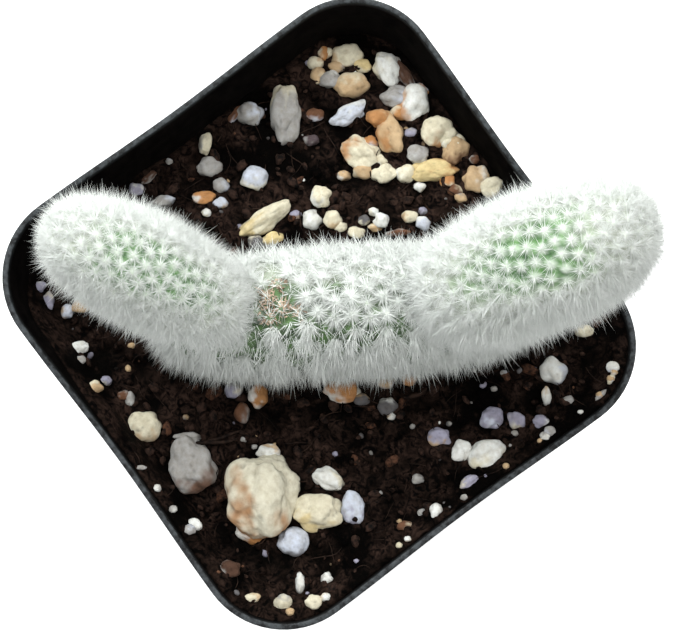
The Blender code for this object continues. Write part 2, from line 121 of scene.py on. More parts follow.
TONES = {
    "white": srgb(228, 229, 226),
    "blue_white": srgb(200, 206, 220),
    "grey": srgb(164, 162, 160),
    "dark_grey": srgb(98, 96, 98),
    "lavender": srgb(160, 158, 178),
    "cream": srgb(220, 213, 190),
    "sand": srgb(214, 209, 190),
    "rust": srgb(168, 118, 72),
    "yellow": srgb(216, 196, 146),
    "tan": srgb(196, 168, 132),
    "orange": srgb(186, 134, 86),
    "brown": srgb(106, 72, 52),
    "bark": srgb(78, 54, 42),
    "mauve": srgb(84, 72, 76),
    "soil": srgb(26, 18, 14),
}

# Stones that the model has as solids: name, u, v, length, width and turn in degrees, then the
# tone, the tone of its stain, and the side in plan, in degrees from u, that the stain is on.
STONES = (
    ("big_pumice", -7.2, -23.2, 11.0, 8.8, 80, "sand", "rust", 235),
    ("cream_stone_front", -0.2, -25.6, 5.8, 4.2, 5, "cream", "yellow", 250),
    ("white_stone_front", 1.2, -21.3, 3.8, 2.6, -25, "white", "cream", 0),
    ("blue_white_stone_front", 4.4, -25.0, 3.9, 2.7, 100, "blue_white", "lavender", 270),
    ("pitted_stone_front", -3.4, -29.4, 3.5, 3.3, 0, "blue_white", "dark_grey", 270),
    ("grey_stone_left", -16.5, -19.6, 7.2, 5.8, 100, "grey", "brown", 300),
    ("cream_stone_left", -23.6, -15.2, 4.0, 3.6, 20, "cream", "tan", 270),
    ("white_stone_right", 21.3, -18.2, 4.4, 3.2, 25, "white", "cream", 270),
    ("bright_stone_right", 30.2, -7.5, 3.3, 2.8, -30, "white", "blue_white", 0),
    ("tall_grey_stone", -4.6, 27.0, 7.4, 4.0, 92, "grey", "cream", 90),
    ("long_cream_stone", -7.2, 12.6, 7.2, 2.8, 32, "cream", "yellow", 210),
    ("orange_cream_stone", 5.4, 21.4, 5.2, 3.7, -30, "cream", "orange", 180),
    ("orange_stone", 9.2, 23.9, 4.4, 3.2, 110, "tan", "orange", 200),
    ("yellow_stone", 14.9, 19.0, 6.0, 2.6, 6, "yellow", "orange", 0),
    ("round_cream_stone", 15.4, 24.3, 3.8, 3.6, 40, "cream", "orange", 270),
    ("tan_stone", 19.0, 22.6, 3.2, 2.8, 60, "tan", "brown", 300),
    ("white_orange_stone", 12.6, 28.2, 4.3, 3.7, 60, "white", "orange", 200),
    ("tan_white_stone", 20.4, 17.8, 3.2, 3.0, 80, "tan", "white", 0),
    ("beige_stone", 4.2, 30.6, 4.3, 3.0, 10, "tan", "cream", 90),
    ("white_stone_back", 9.0, 32.6, 4.4, 3.3, 115, "white", "cream", 180),
    ("brown_cream_stone", 3.6, 34.4, 3.9, 3.0, 0, "cream", "tan", 180),
    ("blue_white_stone_back", 4.0, 26.8, 4.8, 2.2, 28, "blue_white", "white", 90),
)
STONE_HEIGHT = 0.8             # of its width
STONE_SINK = 0.18              # of its height, from the soil up to its middle
STONE_REACH = 0.6              # of its width, kept clear round its middle
PEBBLE_LENGTH = 6.5            # a stone shorter than this many mm shows a little larger
PEBBLE_SWELL = 1.1
LUMP_DEPTH = 0.30              # of a stone's broad lumps, and how many there are along it
LUMP_COUNT = 2.6
SEED_STEP = Vector((7.3, 3.1, 5.7))
GRANULE_HEIGHT = 0.85          # of a granule's width
TOP_GRAIN = 1.2                # a granule shorter than this many mm lies on top of the crumbs
DUST_GRAINS = 300              # strewn at random, besides the ones below
FIRST_GRAIN_SEED = 300

# Granules that lie in the soil: u, v, length, width, turn in degrees and tone
GRANULES = (
    (-9.3, 27.1, 3.4, 3, 0, "grey"), (-15.7, 24.1, 3.3, 1.8, 85, "cream"),
    (-14.6, 19.8, 3.3, 2.6, 0, "grey"), (-13, 17.3, 2.1, 2, 30, "grey"),
    (-15.2, 15.7, 3, 1.8, 0, "orange"), (-13, 14.9, 2, 1.6, 0, "blue_white"),
    (-8.5, 18.2, 3.5, 3, 0, "blue_white"), (-6.2, 10, 3, 1.8, 20, "yellow"),
    (-8.4, 9.7, 2, 1.8, 0, "dark_grey"), (0.2, 15.6, 3, 2.6, 70, "cream"),
    (-1, 12.6, 2.7, 2.5, 0, "white"), (1.8, 12.6, 2.6, 2.4, 50, "cream"),
    (2.8, 11.6, 1.7, 1.5, 0, "cream"), (-3.1, 13.3, 1.4, 1.3, 0, "lavender"),
    (-21.5, 22.8, 1, 0.9, 0, "grey"), (-24.3, 17.2, 2, 1.6, 0, "lavender"),
    (-20.5, 15.2, 3, 1.6, 10, "grey"), (-14.8, 13.6, 1.3, 1.2, 0, "white"),
    (-38.4, 3.7, 1.6, 1.4, 0, "lavender"), (-36, 1.9, 2.3, 1.6, 90, "lavender"),
    (-33, 0.7, 2, 1.6, 90, "blue_white"), (-31.2, 1.4, 2.6, 2, 0, "tan"),
    (-1.2, 37.3, 2, 1.6, 90, "orange"), (0.6, 35.5, 1.6, 1.5, 0, "cream"),
    (-0.2, 32, 2.3, 2, 90, "tan"), (1.3, 31.3, 3, 2.5, 0, "grey"), (11.6, 34, 3.3, 2, -45, "grey"),
    (14.6, 31, 3.2, 1.8, 0, "orange"), (9.7, 28.9, 3.6, 2.6, 10, "grey"),
    (7.9, 26, 3.4, 2.6, 0, "orange"), (5.6, 18.9, 2.6, 2, 0, "tan"),
    (8.4, 18.6, 3.2, 2.5, 20, "cream"), (12.8, 21.1, 3, 2.4, 0, "grey"),
    (11.3, 18.6, 2.6, 2.4, 0, "cream"), (13.1, 16.9, 1.5, 1.4, 0, "white"),
    (18.7, 25.4, 3, 2.8, 0, "cream"), (23.3, 17.4, 3, 2.6, 30, "cream"),
    (17.8, 16.3, 2, 1.6, 0, "brown"), (18.5, 15.4, 1.8, 1.4, 0, "tan"),
    (21.8, 21.5, 1.4, 1.2, 0, "brown"), (7.1, 13.5, 1.4, 1.3, 0, "white"),
    (8.1, 12.3, 2.2, 2, 0, "white"), (5.8, 12.4, 1.5, 1.4, 0, "dark_grey"),
    (7.3, 11.5, 2, 1.2, 0, "tan"), (4.8, 10.8, 2.3, 1.7, 0, "cream"),
    (11.7, 12.9, 2, 1.6, 0, "cream"), (13.5, 13.6, 1.2, 1.1, 0, "lavender"),
    (13.5, 12, 2, 1.8, 0, "blue_white"), (-31.5, -4.2, 2.9, 1.7, 20, "white"),
    (-31, -5.8, 1.3, 1.1, 0, "grey"), (-27.8, -8.5, 1.6, 1.3, 0, "lavender"),
    (-29.6, -9.9, 2.1, 1.6, 0, "tan"), (-25.3, -10.4, 2, 1.4, 0, "brown"),
    (-24.6, -10.9, 2, 1.3, 90, "grey"), (-17.3, -13.3, 0.9, 0.8, 0, "tan"),
    (-17, -15.9, 3.3, 1.3, 0, "grey"), (-9.6, -16.2, 1.2, 1, 0, "grey"),
    (-6, -28, 1.5, 1.3, 0, "grey"), (-16.2, -27.4, 2, 1.8, 0, "white"),
    (-17, -28.2, 1.6, 1.4, 0, "grey"), (-21.1, -22.9, 1.1, 1, 0, "white"),
    (-19.3, -25.7, 1.1, 1, 0, "grey"), (-22.6, -19.9, 1.3, 0.6, 0, "grey"),
    (-2.4, -34.6, 2.6, 1.4, 90, "white"), (1, -34.1, 1.8, 1.5, 90, "white"),
    (-8.5, -36.4, 2, 1.2, 0, "cream"), (-4.5, -37, 2.4, 2, 0, "cream"),
    (-0.5, -37.2, 2.2, 1.8, 0, "cream"), (0.8, -36.3, 1.3, 1.1, 0, "white"),
    (-3.6, -38.9, 1.2, 1, 0, "tan"), (-11.2, -9.8, 2.3, 2, 0, "lavender"),
    (-7.9, -10.4, 3, 2.5, 90, "orange"), (-10, -12.8, 2.6, 2, 90, "brown"),
    (2.7, -9.9, 4.6, 3, 0, "orange"), (4.6, -10.2, 1.8, 1.5, 0, "cream"),
    (5.4, -11.1, 2.3, 1.6, 0, "dark_grey"), (8.8, -11.9, 2.5, 2.3, 0, "dark_grey"),
    (8.7, -8.8, 2.3, 1.6, 0, "tan"), (9.3, -13.3, 1.1, 1, 0, "white"),
    (-0.5, -8.8, 1.6, 1.4, 0, "grey"), (11.6, -8.5, 2, 1.6, 0, "orange"),
    (16.7, -14.2, 0.8, 0.7, 0, "white"), (12, -14.6, 0.8, 0.7, 0, "grey"),
    (15.4, -16, 3, 2.4, 0, "lavender"), (18.2, -17.7, 2.9, 2.4, 50, "white"),
    (19.2, -21.7, 2.8, 1.5, 30, "lavender"), (22.2, -13.5, 3, 2.7, 50, "lavender"),
    (25.3, -13.8, 2.5, 2, -45, "lavender"), (28.4, -14, 2.2, 1.7, 0, "lavender"),
    (27.5, -7.2, 1.3, 1.1, 0, "lavender"), (29.2, -10.8, 2.5, 1.2, 90, "white"),
    (32, -11.3, 1.5, 1.3, 0, "grey"), (39.3, -7.6, 1.7, 1.5, 0, "white"),
    (34, -2.3, 2.4, 1.7, 0, "cream"), (30.3, -16.5, 1.5, 1.3, 0, "grey"),
    (29.4, -16.7, 1.3, 1.1, 0, "white"), (38.8, -10, 1, 0.9, 0, "tan"),
    (39.7, -9.1, 1, 0.9, 0, "tan"), (36.8, -12, 1, 0.9, 0, "tan"),
    (12.6, -21.3, 1.7, 1.2, 0, "grey"), (14.9, -25.4, 2, 1.6, 90, "white"),
    (13.2, -25.6, 1.2, 1, 0, "grey"), (23.9, -19.8, 0.9, 0.8, 0, "tan"),
    (19.2, -24.7, 0.9, 0.8, 0, "grey"), (10.9, -30.7, 0.9, 0.8, 0, "cream"),
    (22.5, -9.7, 1, 0.8, 0, "grey"), (23.8, -7.7, 1, 0.8, 0, "grey"),
    (-0.6, 26.7, 2.2, 1.8, 0, "brown"), (12, 24.1, 1.6, 1.2, 0, "lavender"),
    (10.6, 26.8, 2.6, 2, 0, "orange"), (-1.1, 23.3, 2, 1.5, 0, "mauve"),
    (-24.5, 21.2, 2.4, 1.2, 40, "bark"), (-12.8, 29, 2.6, 1.2, 50, "brown"),
    (-29, 1, 2, 1.2, 20, "bark"), (14, 33.6, 5, 1.8, -60, "bark"),
    (10.4, 10.8, 3.4, 0.9, 5, "brown"), (-11.6, -33, 3, 2.3, 0, "bark"),
    (11, -27.4, 2.2, 1.4, 0, "brown"), (22.5, 26.2, 3, 2.6, 0, "cream"),
    (5.6, 33.2, 2.4, 2, 0, "yellow"), (2.2, 33, 2, 1.8, 0, "tan"),
    (-0.6, 33.6, 2.2, 1.8, 0, "cream"), (16.8, 17.6, 2, 1.6, 0, "orange"),
    (8, 20.4, 2, 1.7, 0, "cream"), (3.2, 18.4, 1.8, 1.4, 0, "tan"),
    (6.6, 22.9, 2.2, 1.8, 0, "orange"), (-10.6, -20.2, 2.4, 2, 0, "white"),
    (-6.5, -17.9, 2.8, 2.2, 0, "white"), (-8.6, -28, 3.8, 2.8, 0, "rust"),
    (-10.6, -24.6, 2.4, 2, 60, "rust"), (38.4, -9.4, 1.5, 0.8, 60, "cream"),
    (36.6, -11.6, 1.8, 0.7, 40, "grey"), (34.4, -14.3, 0.8, 0.6, 0, "white"),
    (11.9, -29.8, 1, 0.8, 0, "white"),
)

# Fibres on the soil: u, v, bearing in degrees from u, length and radius in mm
LONG_FIBRES = (
    (-19.5, -17.0, 12, 9.0, 0.28), (-15.0, -16.3, 5, 5.0, 0.22), (34.8, -13.0, 35, 4.5, 0.25),
    (10.4, -10.8, 5, 3.8, 0.35), (-22.0, 6.0, 60, 8.0, 0.2), (24.0, -22.0, -40, 7.0, 0.2))
SHORT_FIBRES = 260


# Places and surfaces

def plan_point(u, v, z=0.0):
    """A place or a direction given by u, v and z, in the axes of the model."""
    return Matrix.Rotation(PLAN_TURN, 3, "Z") @ Vector((u, v, z))


def wall_half(z):
    """Half the width of the pot's plain outer wall at a height, at its corners."""
    top = POT_SIDE / 2 + SIDE_SPRING - COLLAR_STEP - LIP_STEP
    return POT_FOOT / 2 + (top - POT_FOOT / 2) * z / POT_HEIGHT


def wall_corner(z):
    """Corner radius of the pot's plain outer wall at a height."""
    top = LIP_CORNER - COLLAR_STEP - LIP_STEP
    return FOOT_CORNER + (top - FOOT_CORNER) * z / POT_HEIGHT


def inner_half(z):
    """Half the width between the pot's inner walls at a height, at its corners."""
    flare = (COLLAR_STEP + LIP_STEP - LIP_WALL + POT_WALL) * np.cos(
        math.pi / 2 * np.clip((POT_HEIGHT - z) / LIP_FLARE, 0, 1)) ** 2
    return wall_half(z) - POT_WALL + flare


def ramp(values, low, high):
    """0 below low and 1 above high, smoothly in between; high may lie below low."""
    share = np.clip((np.asarray(values) - low) / (high - low), 0, 1)
    return share * share * (3 - 2 * share)


def soil_height(x, y):
    """The level of the soil that the stones lie in, without its crumbs."""
    u, v = x / MM, y / MM
    swell = np.sin(0.31 * u + 0.9) * np.cos(0.23 * v) + 0.8 * np.sin(0.47 * v - 0.21 * u)
    return POT_HEIGHT - SOIL_BELOW_LIP + SOIL_TILT * x + SOIL_SWELL * swell


def ground_height(x, y):
    """The level of the soil with its bank, without its crumbs."""
    return soil_height(x, y) + bank_height(x, y)


def lip_gap(x, y):
    """Distance in plan from the inner edge of the lip."""
    half = POT_SIDE / 2 - LIP_WALL
    core = POT_SIDE / 2 - LIP_CORNER
    past = np.hypot(np.maximum(np.abs(x) - core, 0), np.maximum(np.abs(y) - core, 0))
    return half - core - past


def bank_height(x, y):
    """How far the soil is heaped up against the wall, almost to the lip on two sides."""
    depth = BANK_BELOW_LIP + BANK_FALL * ramp(0.45 * y - x, -13 * MM, 30 * MM)
    room = POT_HEIGHT - depth - soil_height(x, y)
    return np.maximum(room, 0) * ramp(lip_gap(x, y), BANK_REACH, 0.6 * MM)


def kept_inside(place, reach):
    """Moves a place in plan towards the middle until it is a distance from the pot's wall."""
    level = ground_height(place.x, place.y)
    half = inner_half(level) - SIDE_SPRING - reach
    return held_in(place, half, wall_half(level) - wall_corner(level))


def held_in(place, half, core):
    """Moves a place in plan into a square with rounded corners."""
    x, y = (max(-half, min(half, value)) for value in place.xy)
    past = Vector((max(abs(x) - core, 0.0), max(abs(y) - core, 0.0)))
    if past.length > half - core:
        past *= (half - core) / past.length
        x = math.copysign(core + past.x, x) if past.x > 0 else x
        y = math.copysign(core + past.y, y) if past.y > 0 else y
    return Vector((x, y, 0.0))


def stone_place(u, v, reach):
    """The place in plan of a stone's solid, which keeps clear of the wall below the bank."""
    place = plan_point(u * MM, v * MM)
    level = soil_height(place.x, place.y)
    half = wall_half(level) - SIDE_SPRING - POT_WALL - reach
    return held_in(place, half, wall_half(level) - wall_corner(level))


def signed_power(values, exponent):
    """A power that keeps the sign."""
    return np.sign(values) * np.abs(values) ** exponent


def pad_halves(pad, theta):
    """Half a pad's width and thickness at theta, which is 0 at its foot and pi at its crown."""
    taper = 1 - pad["narrowing"] * np.cos(theta)
    blunt = np.where(np.cos(theta) > 0, pad["foot_power"], 1.0)
    half_width = 0.5 * pad["width"] * np.sin(theta) ** (OUTLINE_POWER * blunt) * taper
    half_thickness = 0.5 * pad["thickness"] * np.sin(theta) ** (BELLY_POWER * blunt) * taper
    return half_width, half_thickness


def pad_skin(pad, theta, phi):
    """Points of a pad's skin in its own axes: x across, y through, z from foot to crown."""
    half_width, half_thickness = pad_halves(pad, theta)
    power = 2 / pad["squareness"]
    x = half_width * signed_power(np.cos(phi), power)
    y = half_thickness * signed_power(np.sin(phi), power)
    z = 0.5 * pad["length"] * (1 - np.cos(theta))
    return np.stack(np.broadcast_arrays(x, y, z), -1)


def skin_steps(pad, theta, phi):
    """Places on a pad's skin, and a tiny step from each to the crown and round the pad."""
    places = pad_skin(pad, theta, phi)
    up = pad_skin(pad, theta + TINY_STEP, phi) - places
    along = pad_skin(pad, theta, phi + TINY_STEP) - places
    return places, up, along


def skin_depth(pad, matrix, points):
    """1 on a pad's skin, less inside it and more outside it, for an array of points."""
    own = carried(matrix.inverted(), points)
    cosine = np.clip(1 - own[:, 2] / (0.5 * pad["length"]), -1.0, 1.0)
    half_width, half_thickness = pad_halves(pad, np.arccos(cosine))
    power = pad["squareness"]
    return (np.abs(own[:, 0] / (half_width + 1e-6)) ** power
            + np.abs(own[:, 1] / (half_thickness + 1e-6)) ** power) ** (1 / power)


def crown_point(distance, aside):
    """A place on the base pad's crown, at a distance along it and to the side of its middle."""
    theta = np.linspace(math.pi / 2, math.pi, 400)
    crown = pad_skin(BASE_PAD, theta, 0.0)
    z = np.interp(-abs(distance), -crown[:, 0], crown[:, 2])
    return Vector((distance, aside, z))


def pad_matrix(pad, foot):
    """The place and the turn of a pad that grows from its foot."""
    bearing = PLAN_TURN + pad["turn"]
    level = Vector((math.cos(bearing), math.sin(bearing), 0.0))
    growth = math.cos(pad["rise"]) * level + math.sin(pad["rise"]) * Vector((0, 0, 1))
    through = Vector((-level.y, level.x, 0.0))
    across = through.cross(growth)
    turn = Matrix((across, through, growth)).transposed().to_4x4()
    return Matrix.Translation(foot) @ turn


def pad_places():
    """The matrix of each pad: the base pad in the soil, and the ears on its crown."""
    base = pad_matrix(BASE_PAD, plan_point(*BASE_FOOT))
    sink = Matrix.Translation((0, 0, -NECK_SINK))
    left = pad_matrix(LEFT_EAR, base @ crown_point(*LEFT_NECK)) @ sink
    right = pad_matrix(RIGHT_EAR, base @ crown_point(*RIGHT_NECK)) @ sink
    return base, left, right


def carried(matrix, points):
    """An array of points, moved by a matrix."""
    return points @ np.array(matrix.to_3x3()).T + np.array(matrix.translation)


# Meshes

def mesh_piece(name, points, faces, finish, slot):
    """An object from arrays of points and faces that all have the same number of corners."""
    mesh = bpy.data.meshes.new(name)
    count, corners = faces.shape
    mesh.vertices.add(len(points))
    mesh.vertices.foreach_set("co", np.asarray(points, np.float32).ravel())
    mesh.loops.add(count * corners)
    mesh.loops.foreach_set("vertex_index", faces.astype(np.int32).ravel())
    mesh.polygons.add(count)
    mesh.polygons.foreach_set("loop_start", np.arange(0, count * corners, corners, dtype=np.int32))
    mesh.update(calc_edges=True)
    mesh.validate()
    return finished(bpy.data.objects.new(name, mesh), finish)


def object_from(bm, name):
    """An object from a bmesh, which is freed."""
    mesh = bpy.data.meshes.new(name)
    bm.to_mesh(mesh)
    bm.free()
    return bpy.data.objects.new(name, mesh)


def finished(obj, finish):
    """Puts an object in the scene as a smooth piece with a finish, which rides on the root."""
    bpy.context.scene.collection.objects.link(obj)
    obj.data.materials.append(finish)
    obj.data.shade_smooth()
    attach(obj, "root")
    return obj


def close_rings(obj, rings):
    """Closes each ring of points onto its middle point, and turns all faces outward."""
    bm = bmesh.new()
    bm.from_mesh(obj.data)
    bm.verts.ensure_lookup_table()
    for ring, hub in rings:
        for first, second in zip(ring, np.roll(ring, -1)):
            bm.faces.new((bm.verts[first], bm.verts[second], bm.verts[hub]))
    bmesh.ops.recalc_face_normals(bm, faces=bm.faces)
    bm.to_mesh(obj.data)
    bm.free()
    obj.data.shade_smooth()


def paint(obj, name, values):
    """Stores a value or a colour for each point of a mesh."""
    values = np.asarray(values, np.float32)
    if values.ndim == 1:
        obj.data.attributes.new(name, "FLOAT", "POINT").data.foreach_set("value", values)
    else:
        layer = obj.data.color_attributes.new(name, "FLOAT_COLOR", "POINT")
        layer.data.foreach_set("color", values.ravel())


def grid_faces(rows, columns, wrap=False):
    """Four-sided faces between the points of a grid, whose rows may close on themselves."""
    row = np.arange(rows - 1)[:, None]
    column = np.arange(columns if wrap else columns - 1)[None, :]
    after = (column + 1) % columns
    corners = (row * columns + column, row * columns + after,
               (row + 1) * columns + after, (row + 1) * columns + column)
    return np.stack(np.broadcast_arrays(*corners), -1).reshape(-1, 4)


def joined(parts):
    """One array of points and one of faces, from the points and faces of many parts."""
    starts = np.cumsum([0] + [len(points) for points, _ in parts[:-1]])
    faces = [own + start for (_, own), start in zip(parts, starts)]
    return np.concatenate([points for points, _ in parts]), np.concatenate(faces)


def unit_rows(ways):
    """Directions, each brought to length 1."""
    return ways / np.linalg.norm(ways, axis=1)[:, None]


def ring_ways(side, lift, sides):
    """For each pair of directions, directions that go round from side to lift and on."""
    angle = np.arange(sides) * 2 * math.pi / sides
    return (np.cos(angle)[None, :, None] * side[:, None]
            + np.sin(angle)[None, :, None] * lift[:, None])


def ball(subdivisions):
    """Points and triangles of a ball of diameter 1."""
    bm = bmesh.new()
    bmesh.ops.create_icosphere(bm, subdivisions=subdivisions, radius=0.5)
    points = np.array([vert.co[:] for vert in bm.verts])
    faces = np.array([[vert.index for vert in face.verts] for face in bm.faces])
    bm.free()
    return points, faces


def noise_at(points, size, seed=0, octaves=1):
    """Smooth noise of about -1 to 1 with lumps of a size, for an array of points."""
    offset = seed * SEED_STEP
    if octaves == 1:
        return np.array([noise.noise(Vector(p) + offset) for p in points / size])
    return np.array([noise.fractal(Vector(p) + offset, 1.0, 2.0, octaves) for p in points / size])


def cells_at(points, size, seed=0):
    """Distance to the middle of the nearest cell, in cells of a size, for an array of points."""
    offset = seed * SEED_STEP
    return np.array([noise.voronoi(Vector(p) + offset)[0][0] for p in points / size])


# Finishes

def new_group(name, inputs, outputs):
    """A shader node group; inputs are (name, kind, value), outputs (name, kind)."""
    group = bpy.data.node_groups.new(name, "ShaderNodeTree")
    for label, kind, value in inputs:
        socket = group.interface.new_socket(label, in_out="INPUT", socket_type="NodeSocket" + kind)
        socket.default_value = value
    for label, kind in outputs:
        group.interface.new_socket(label, in_out="OUTPUT", socket_type="NodeSocket" + kind)
    return group, group.nodes.new("NodeGroupInput"), group.nodes.new("NodeGroupOutput")


def feed(tree, socket, value):
    """Gives an input a value, or links another node's output to it."""
    if isinstance(value, bpy.types.NodeSocket):
        tree.links.new(value, socket)
    else:
        socket.default_value = value


def add_node(tree, kind, settings=None, **values):
    """A node with its settings and inputs; an input takes a value or another node's output."""
    node = tree.nodes.new("ShaderNode" + kind)
    for key, value in (settings or {}).items():
        setattr(node, key, value)
    for key, value in values.items():
        wanted = key.replace("_", " ")
        feed(tree, next(s for s in node.inputs if s.name == wanted and s.enabled), value)
    return node


def arithmetic(tree, operation, first, second, clamp=False):
    """The result of a sum on two values."""
    node = add_node(tree, "Math", {"operation": operation, "use_clamp": clamp})
    feed(tree, node.inputs[0], first)
    feed(tree, node.inputs[1], second)
    return node.outputs[0]


def blended(tree, share, first, second, blend="MIX"):
    """A mix of two colours."""
    node = add_node(tree, "Mix", {"data_type": "RGBA", "blend_type": blend})
    for index, value in ((0, share), (6, first), (7, second)):
        feed(tree, node.inputs[index], value)
    return node.outputs[2]


def painted(tree, name, output="Fac"):
    """What is painted on the points of a piece under a name."""
    return add_node(tree, "Attribute", {"attribute_name": name}).outputs[output]


def uneven_colour_group():
    """Cloudy change between two colours, with finer freckles in it."""
    group, given, result = new_group(
        "uneven_colour",
        (("Light", "Color", (1, 1, 1, 1)), ("Dark", "Color", (0, 0, 0, 1)),
         ("Size", "Float", 0.002), ("Contrast", "Float", 1.0), ("Swirl", "Float", 0.0)),
        (("Color", "Color"), ("Mask", "Float")))
    place = add_node(group, "TexCoord").outputs["Object"]
    scale = arithmetic(group, "DIVIDE", 1.0, given.outputs["Size"])
    clouds = add_node(group, "TexNoise", Vector=place, Scale=scale, Detail=5.0, Roughness=0.62,
                      Distortion=given.outputs["Swirl"])
    middle = arithmetic(group, "SUBTRACT", clouds.outputs["Fac"], 0.5)
    strong = arithmetic(group, "MULTIPLY", middle, arithmetic(
        group, "MULTIPLY", given.outputs["Contrast"], 3.0))
    mask = arithmetic(group, "ADD", strong, 0.5, clamp=True)
    colour = blended(group, mask, given.outputs["Dark"], given.outputs["Light"])
    group.links.new(colour, result.inputs["Color"])
    group.links.new(mask, result.inputs["Mask"])
    return group


def grain_group():
    """Fine relief: soft lumps with smaller pits in them."""
    group, given, result = new_group(
        "grain",
        (("Size", "Float", 0.001), ("Depth", "Float", 0.0001), ("Pits", "Float", 0.5)),
        (("Normal", "Vector"), ("Pit", "Float")))
    place = add_node(group, "TexCoord").outputs["Object"]
    scale = arithmetic(group, "DIVIDE", 1.0, given.outputs["Size"])
    lumps = add_node(group, "TexNoise", Vector=place, Scale=scale, Detail=4.0, Roughness=0.6)
    fine = arithmetic(group, "MULTIPLY", scale, 1.7)
    cells = add_node(group, "TexVoronoi", Vector=place, Scale=fine)
    pit = add_node(group, "MapRange", Value=cells.outputs["Distance"], From_Min=0.42, From_Max=0.12)
    sunk = arithmetic(group, "MULTIPLY", pit.outputs["Result"], given.outputs["Pits"])
    height = arithmetic(group, "SUBTRACT", lumps.outputs["Fac"], sunk)
    bump = add_node(group, "Bump", Height=height, Distance=given.outputs["Depth"])
    group.links.new(bump.outputs["Normal"], result.inputs["Normal"])
    group.links.new(sunk, result.inputs["Pit"])
    return group


UNEVEN_COLOUR = uneven_colour_group()
GRAIN = grain_group()


def uneven(tree, light, dark, size, contrast, swirl=0.0):
    """Cloudy change between two colours, its size in mm."""
    return add_node(tree, "Group", {"node_tree": UNEVEN_COLOUR}, Light=light, Dark=dark,
                    Size=size * MM, Contrast=contrast, Swirl=swirl)


def add_grain(tree, shader, size, depth, pits):
    """Gives a shader fine relief, its size and depth in mm, and gives back the relief's node."""
    grain = add_node(tree, "Group", {"node_tree": GRAIN}, Size=size * MM, Depth=depth * MM,
                     Pits=pits)
    tree.links.new(grain.outputs["Normal"], shader.inputs["Normal"])
    return grain


def new_finish(name, **values):
    """A material with one Principled shader; gives the material, its tree and its shader."""
    finish = bpy.data.materials.new(name)
    finish.use_nodes = True
    shader = finish.node_tree.nodes["Principled BSDF"]
    for key, value in values.items():
        shader.inputs[key.replace("_", " ")].default_value = value
    return finish, finish.node_tree, shader


def black_plastic():
    """Black plastic, paler along the lip with wear and a painted sheen, dull and darker on the
    inside with soil dust and painted shade.
    """
    finish, tree, shader = new_finish("worn_black_plastic_with_painted_light")
    tone = uneven(tree, srgb(24, 26, 28), srgb(12, 13, 14), 9, 0.8)
    # Paler colour of the lip: partly wear, partly a painted sheen where the lip catches the light.
    rub_and_sheen = uneven(tree, srgb(66, 70, 73), srgb(13, 14, 16), 0.9, 1.5)
    # Dark colour of the inside wall: partly soil dust, partly painted shade.
    dust_and_shade = uneven(tree, srgb(13, 10, 9), srgb(3, 2, 2), 1.6, 1.2)
    dust_and_shade_share = painted(tree, "soil_dust_and_shade")
    colour = blended(tree, painted(tree, "lip_wear_and_sheen"), tone.outputs["Color"], rub_and_sheen.outputs["Color"])
    colour = blended(tree, dust_and_shade_share, colour, dust_and_shade.outputs["Color"])
    tree.links.new(colour, shader.inputs["Base Color"])
    rough = arithmetic(tree, "MULTIPLY", tone.outputs["Mask"], 0.16)
    rough = arithmetic(tree, "ADD", rough, PLASTIC_ROUGHNESS)
    rough = arithmetic(tree, "ADD", rough, arithmetic(tree, "MULTIPLY", dust_and_shade_share, 0.4), clamp=True)
    tree.links.new(rough, shader.inputs["Roughness"])
    shine = arithmetic(tree, "SUBTRACT", PLASTIC_SHINE, arithmetic(tree, "MULTIPLY", dust_and_shade_share, 0.19))
    tree.links.new(shine, shader.inputs["Specular IOR Level"])
    add_grain(tree, shader, 0.5, 0.012, 0.4)
    return finish


def dark_soil():
    """Damp soil, with painted shade that makes its hollows blacker."""
    finish, tree, shader = new_finish("damp_potting_soil", Roughness=0.9, Specular_IOR_Level=0.04)
    fine = uneven(tree, srgb(55, 41, 35), srgb(3, 2, 2), 1.3, 1.6, swirl=1.8)
    patch = uneven(tree, (1, 1, 1, 1), srgb(56, 50, 48), 6, 2.0)
    colour = blended(tree, 1.0, fine.outputs["Color"], patch.outputs["Color"], "MULTIPLY")
    # Painted shade: the hollows between the crumbs are blended towards near black.
    colour = blended(tree, painted(tree, "hollow_shade"), colour, srgb(4, 3, 2))
    tree.links.new(colour, shader.inputs["Base Color"])
    add_grain(tree, shader, 0.4, 0.10, 0.5)
    return finish


def two_tone(name, light, dark, size, contrast, **values):
    """A finish that changes cloudily between two colours."""
    finish, tree, shader = new_finish(name, **values)
    tone = uneven(tree, light, dark, size, contrast)
    tree.links.new(tone.outputs["Color"], shader.inputs["Base Color"])
    return finish, tree, shader


def bark(name, light, dark, size):
    """Dull dark bark with fine relief."""
    finish, tree, shader = two_tone(
        name, light, dark, size, 1.5, Roughness=0.85, Specular_IOR_Level=0.1)
    add_grain(tree, shader, 0.4, 0.08, 0.3)
    return finish


def pumice():
    """Stone in the tone that is painted on it, with darker pits."""
    finish, tree, shader = new_finish("porous_pumice", Roughness=0.92, Specular_IOR_Level=0.3)
    cloud = uneven(tree, (1, 1, 1, 1), srgb(226, 222, 216), 0.9, 1.0)
    tone = painted(tree, "tone", "Color")
    colour = blended(tree, 1.0, tone, cloud.outputs["Color"], "MULTIPLY")
    grain = add_grain(tree, shader, 0.5, 0.05, 0.5)
    shade = arithmetic(tree, "MULTIPLY", grain.outputs["Pit"], 0.16)
    colour = blended(tree, shade, colour, srgb(150, 126, 104))
    tree.links.new(colour, shader.inputs["Base Color"])
    return finish


def green_skin(name, light, dark):
    """Green skin, paler where down covers it and white with felt at its areoles."""
    finish, tree, shader = new_finish(name, Roughness=0.5)
    tone = uneven(tree, light, dark, 1.4, 1.1)
    colour = blended(tree, painted(tree, "down"), tone.outputs["Color"], srgb(206, 208, 196))
    colour = blended(tree, painted(tree, "areole"), colour, srgb(248, 252, 244))
    tree.links.new(colour, shader.inputs["Base Color"])
    add_grain(tree, shader, 0.35, 0.03, 0.3)
    return finish


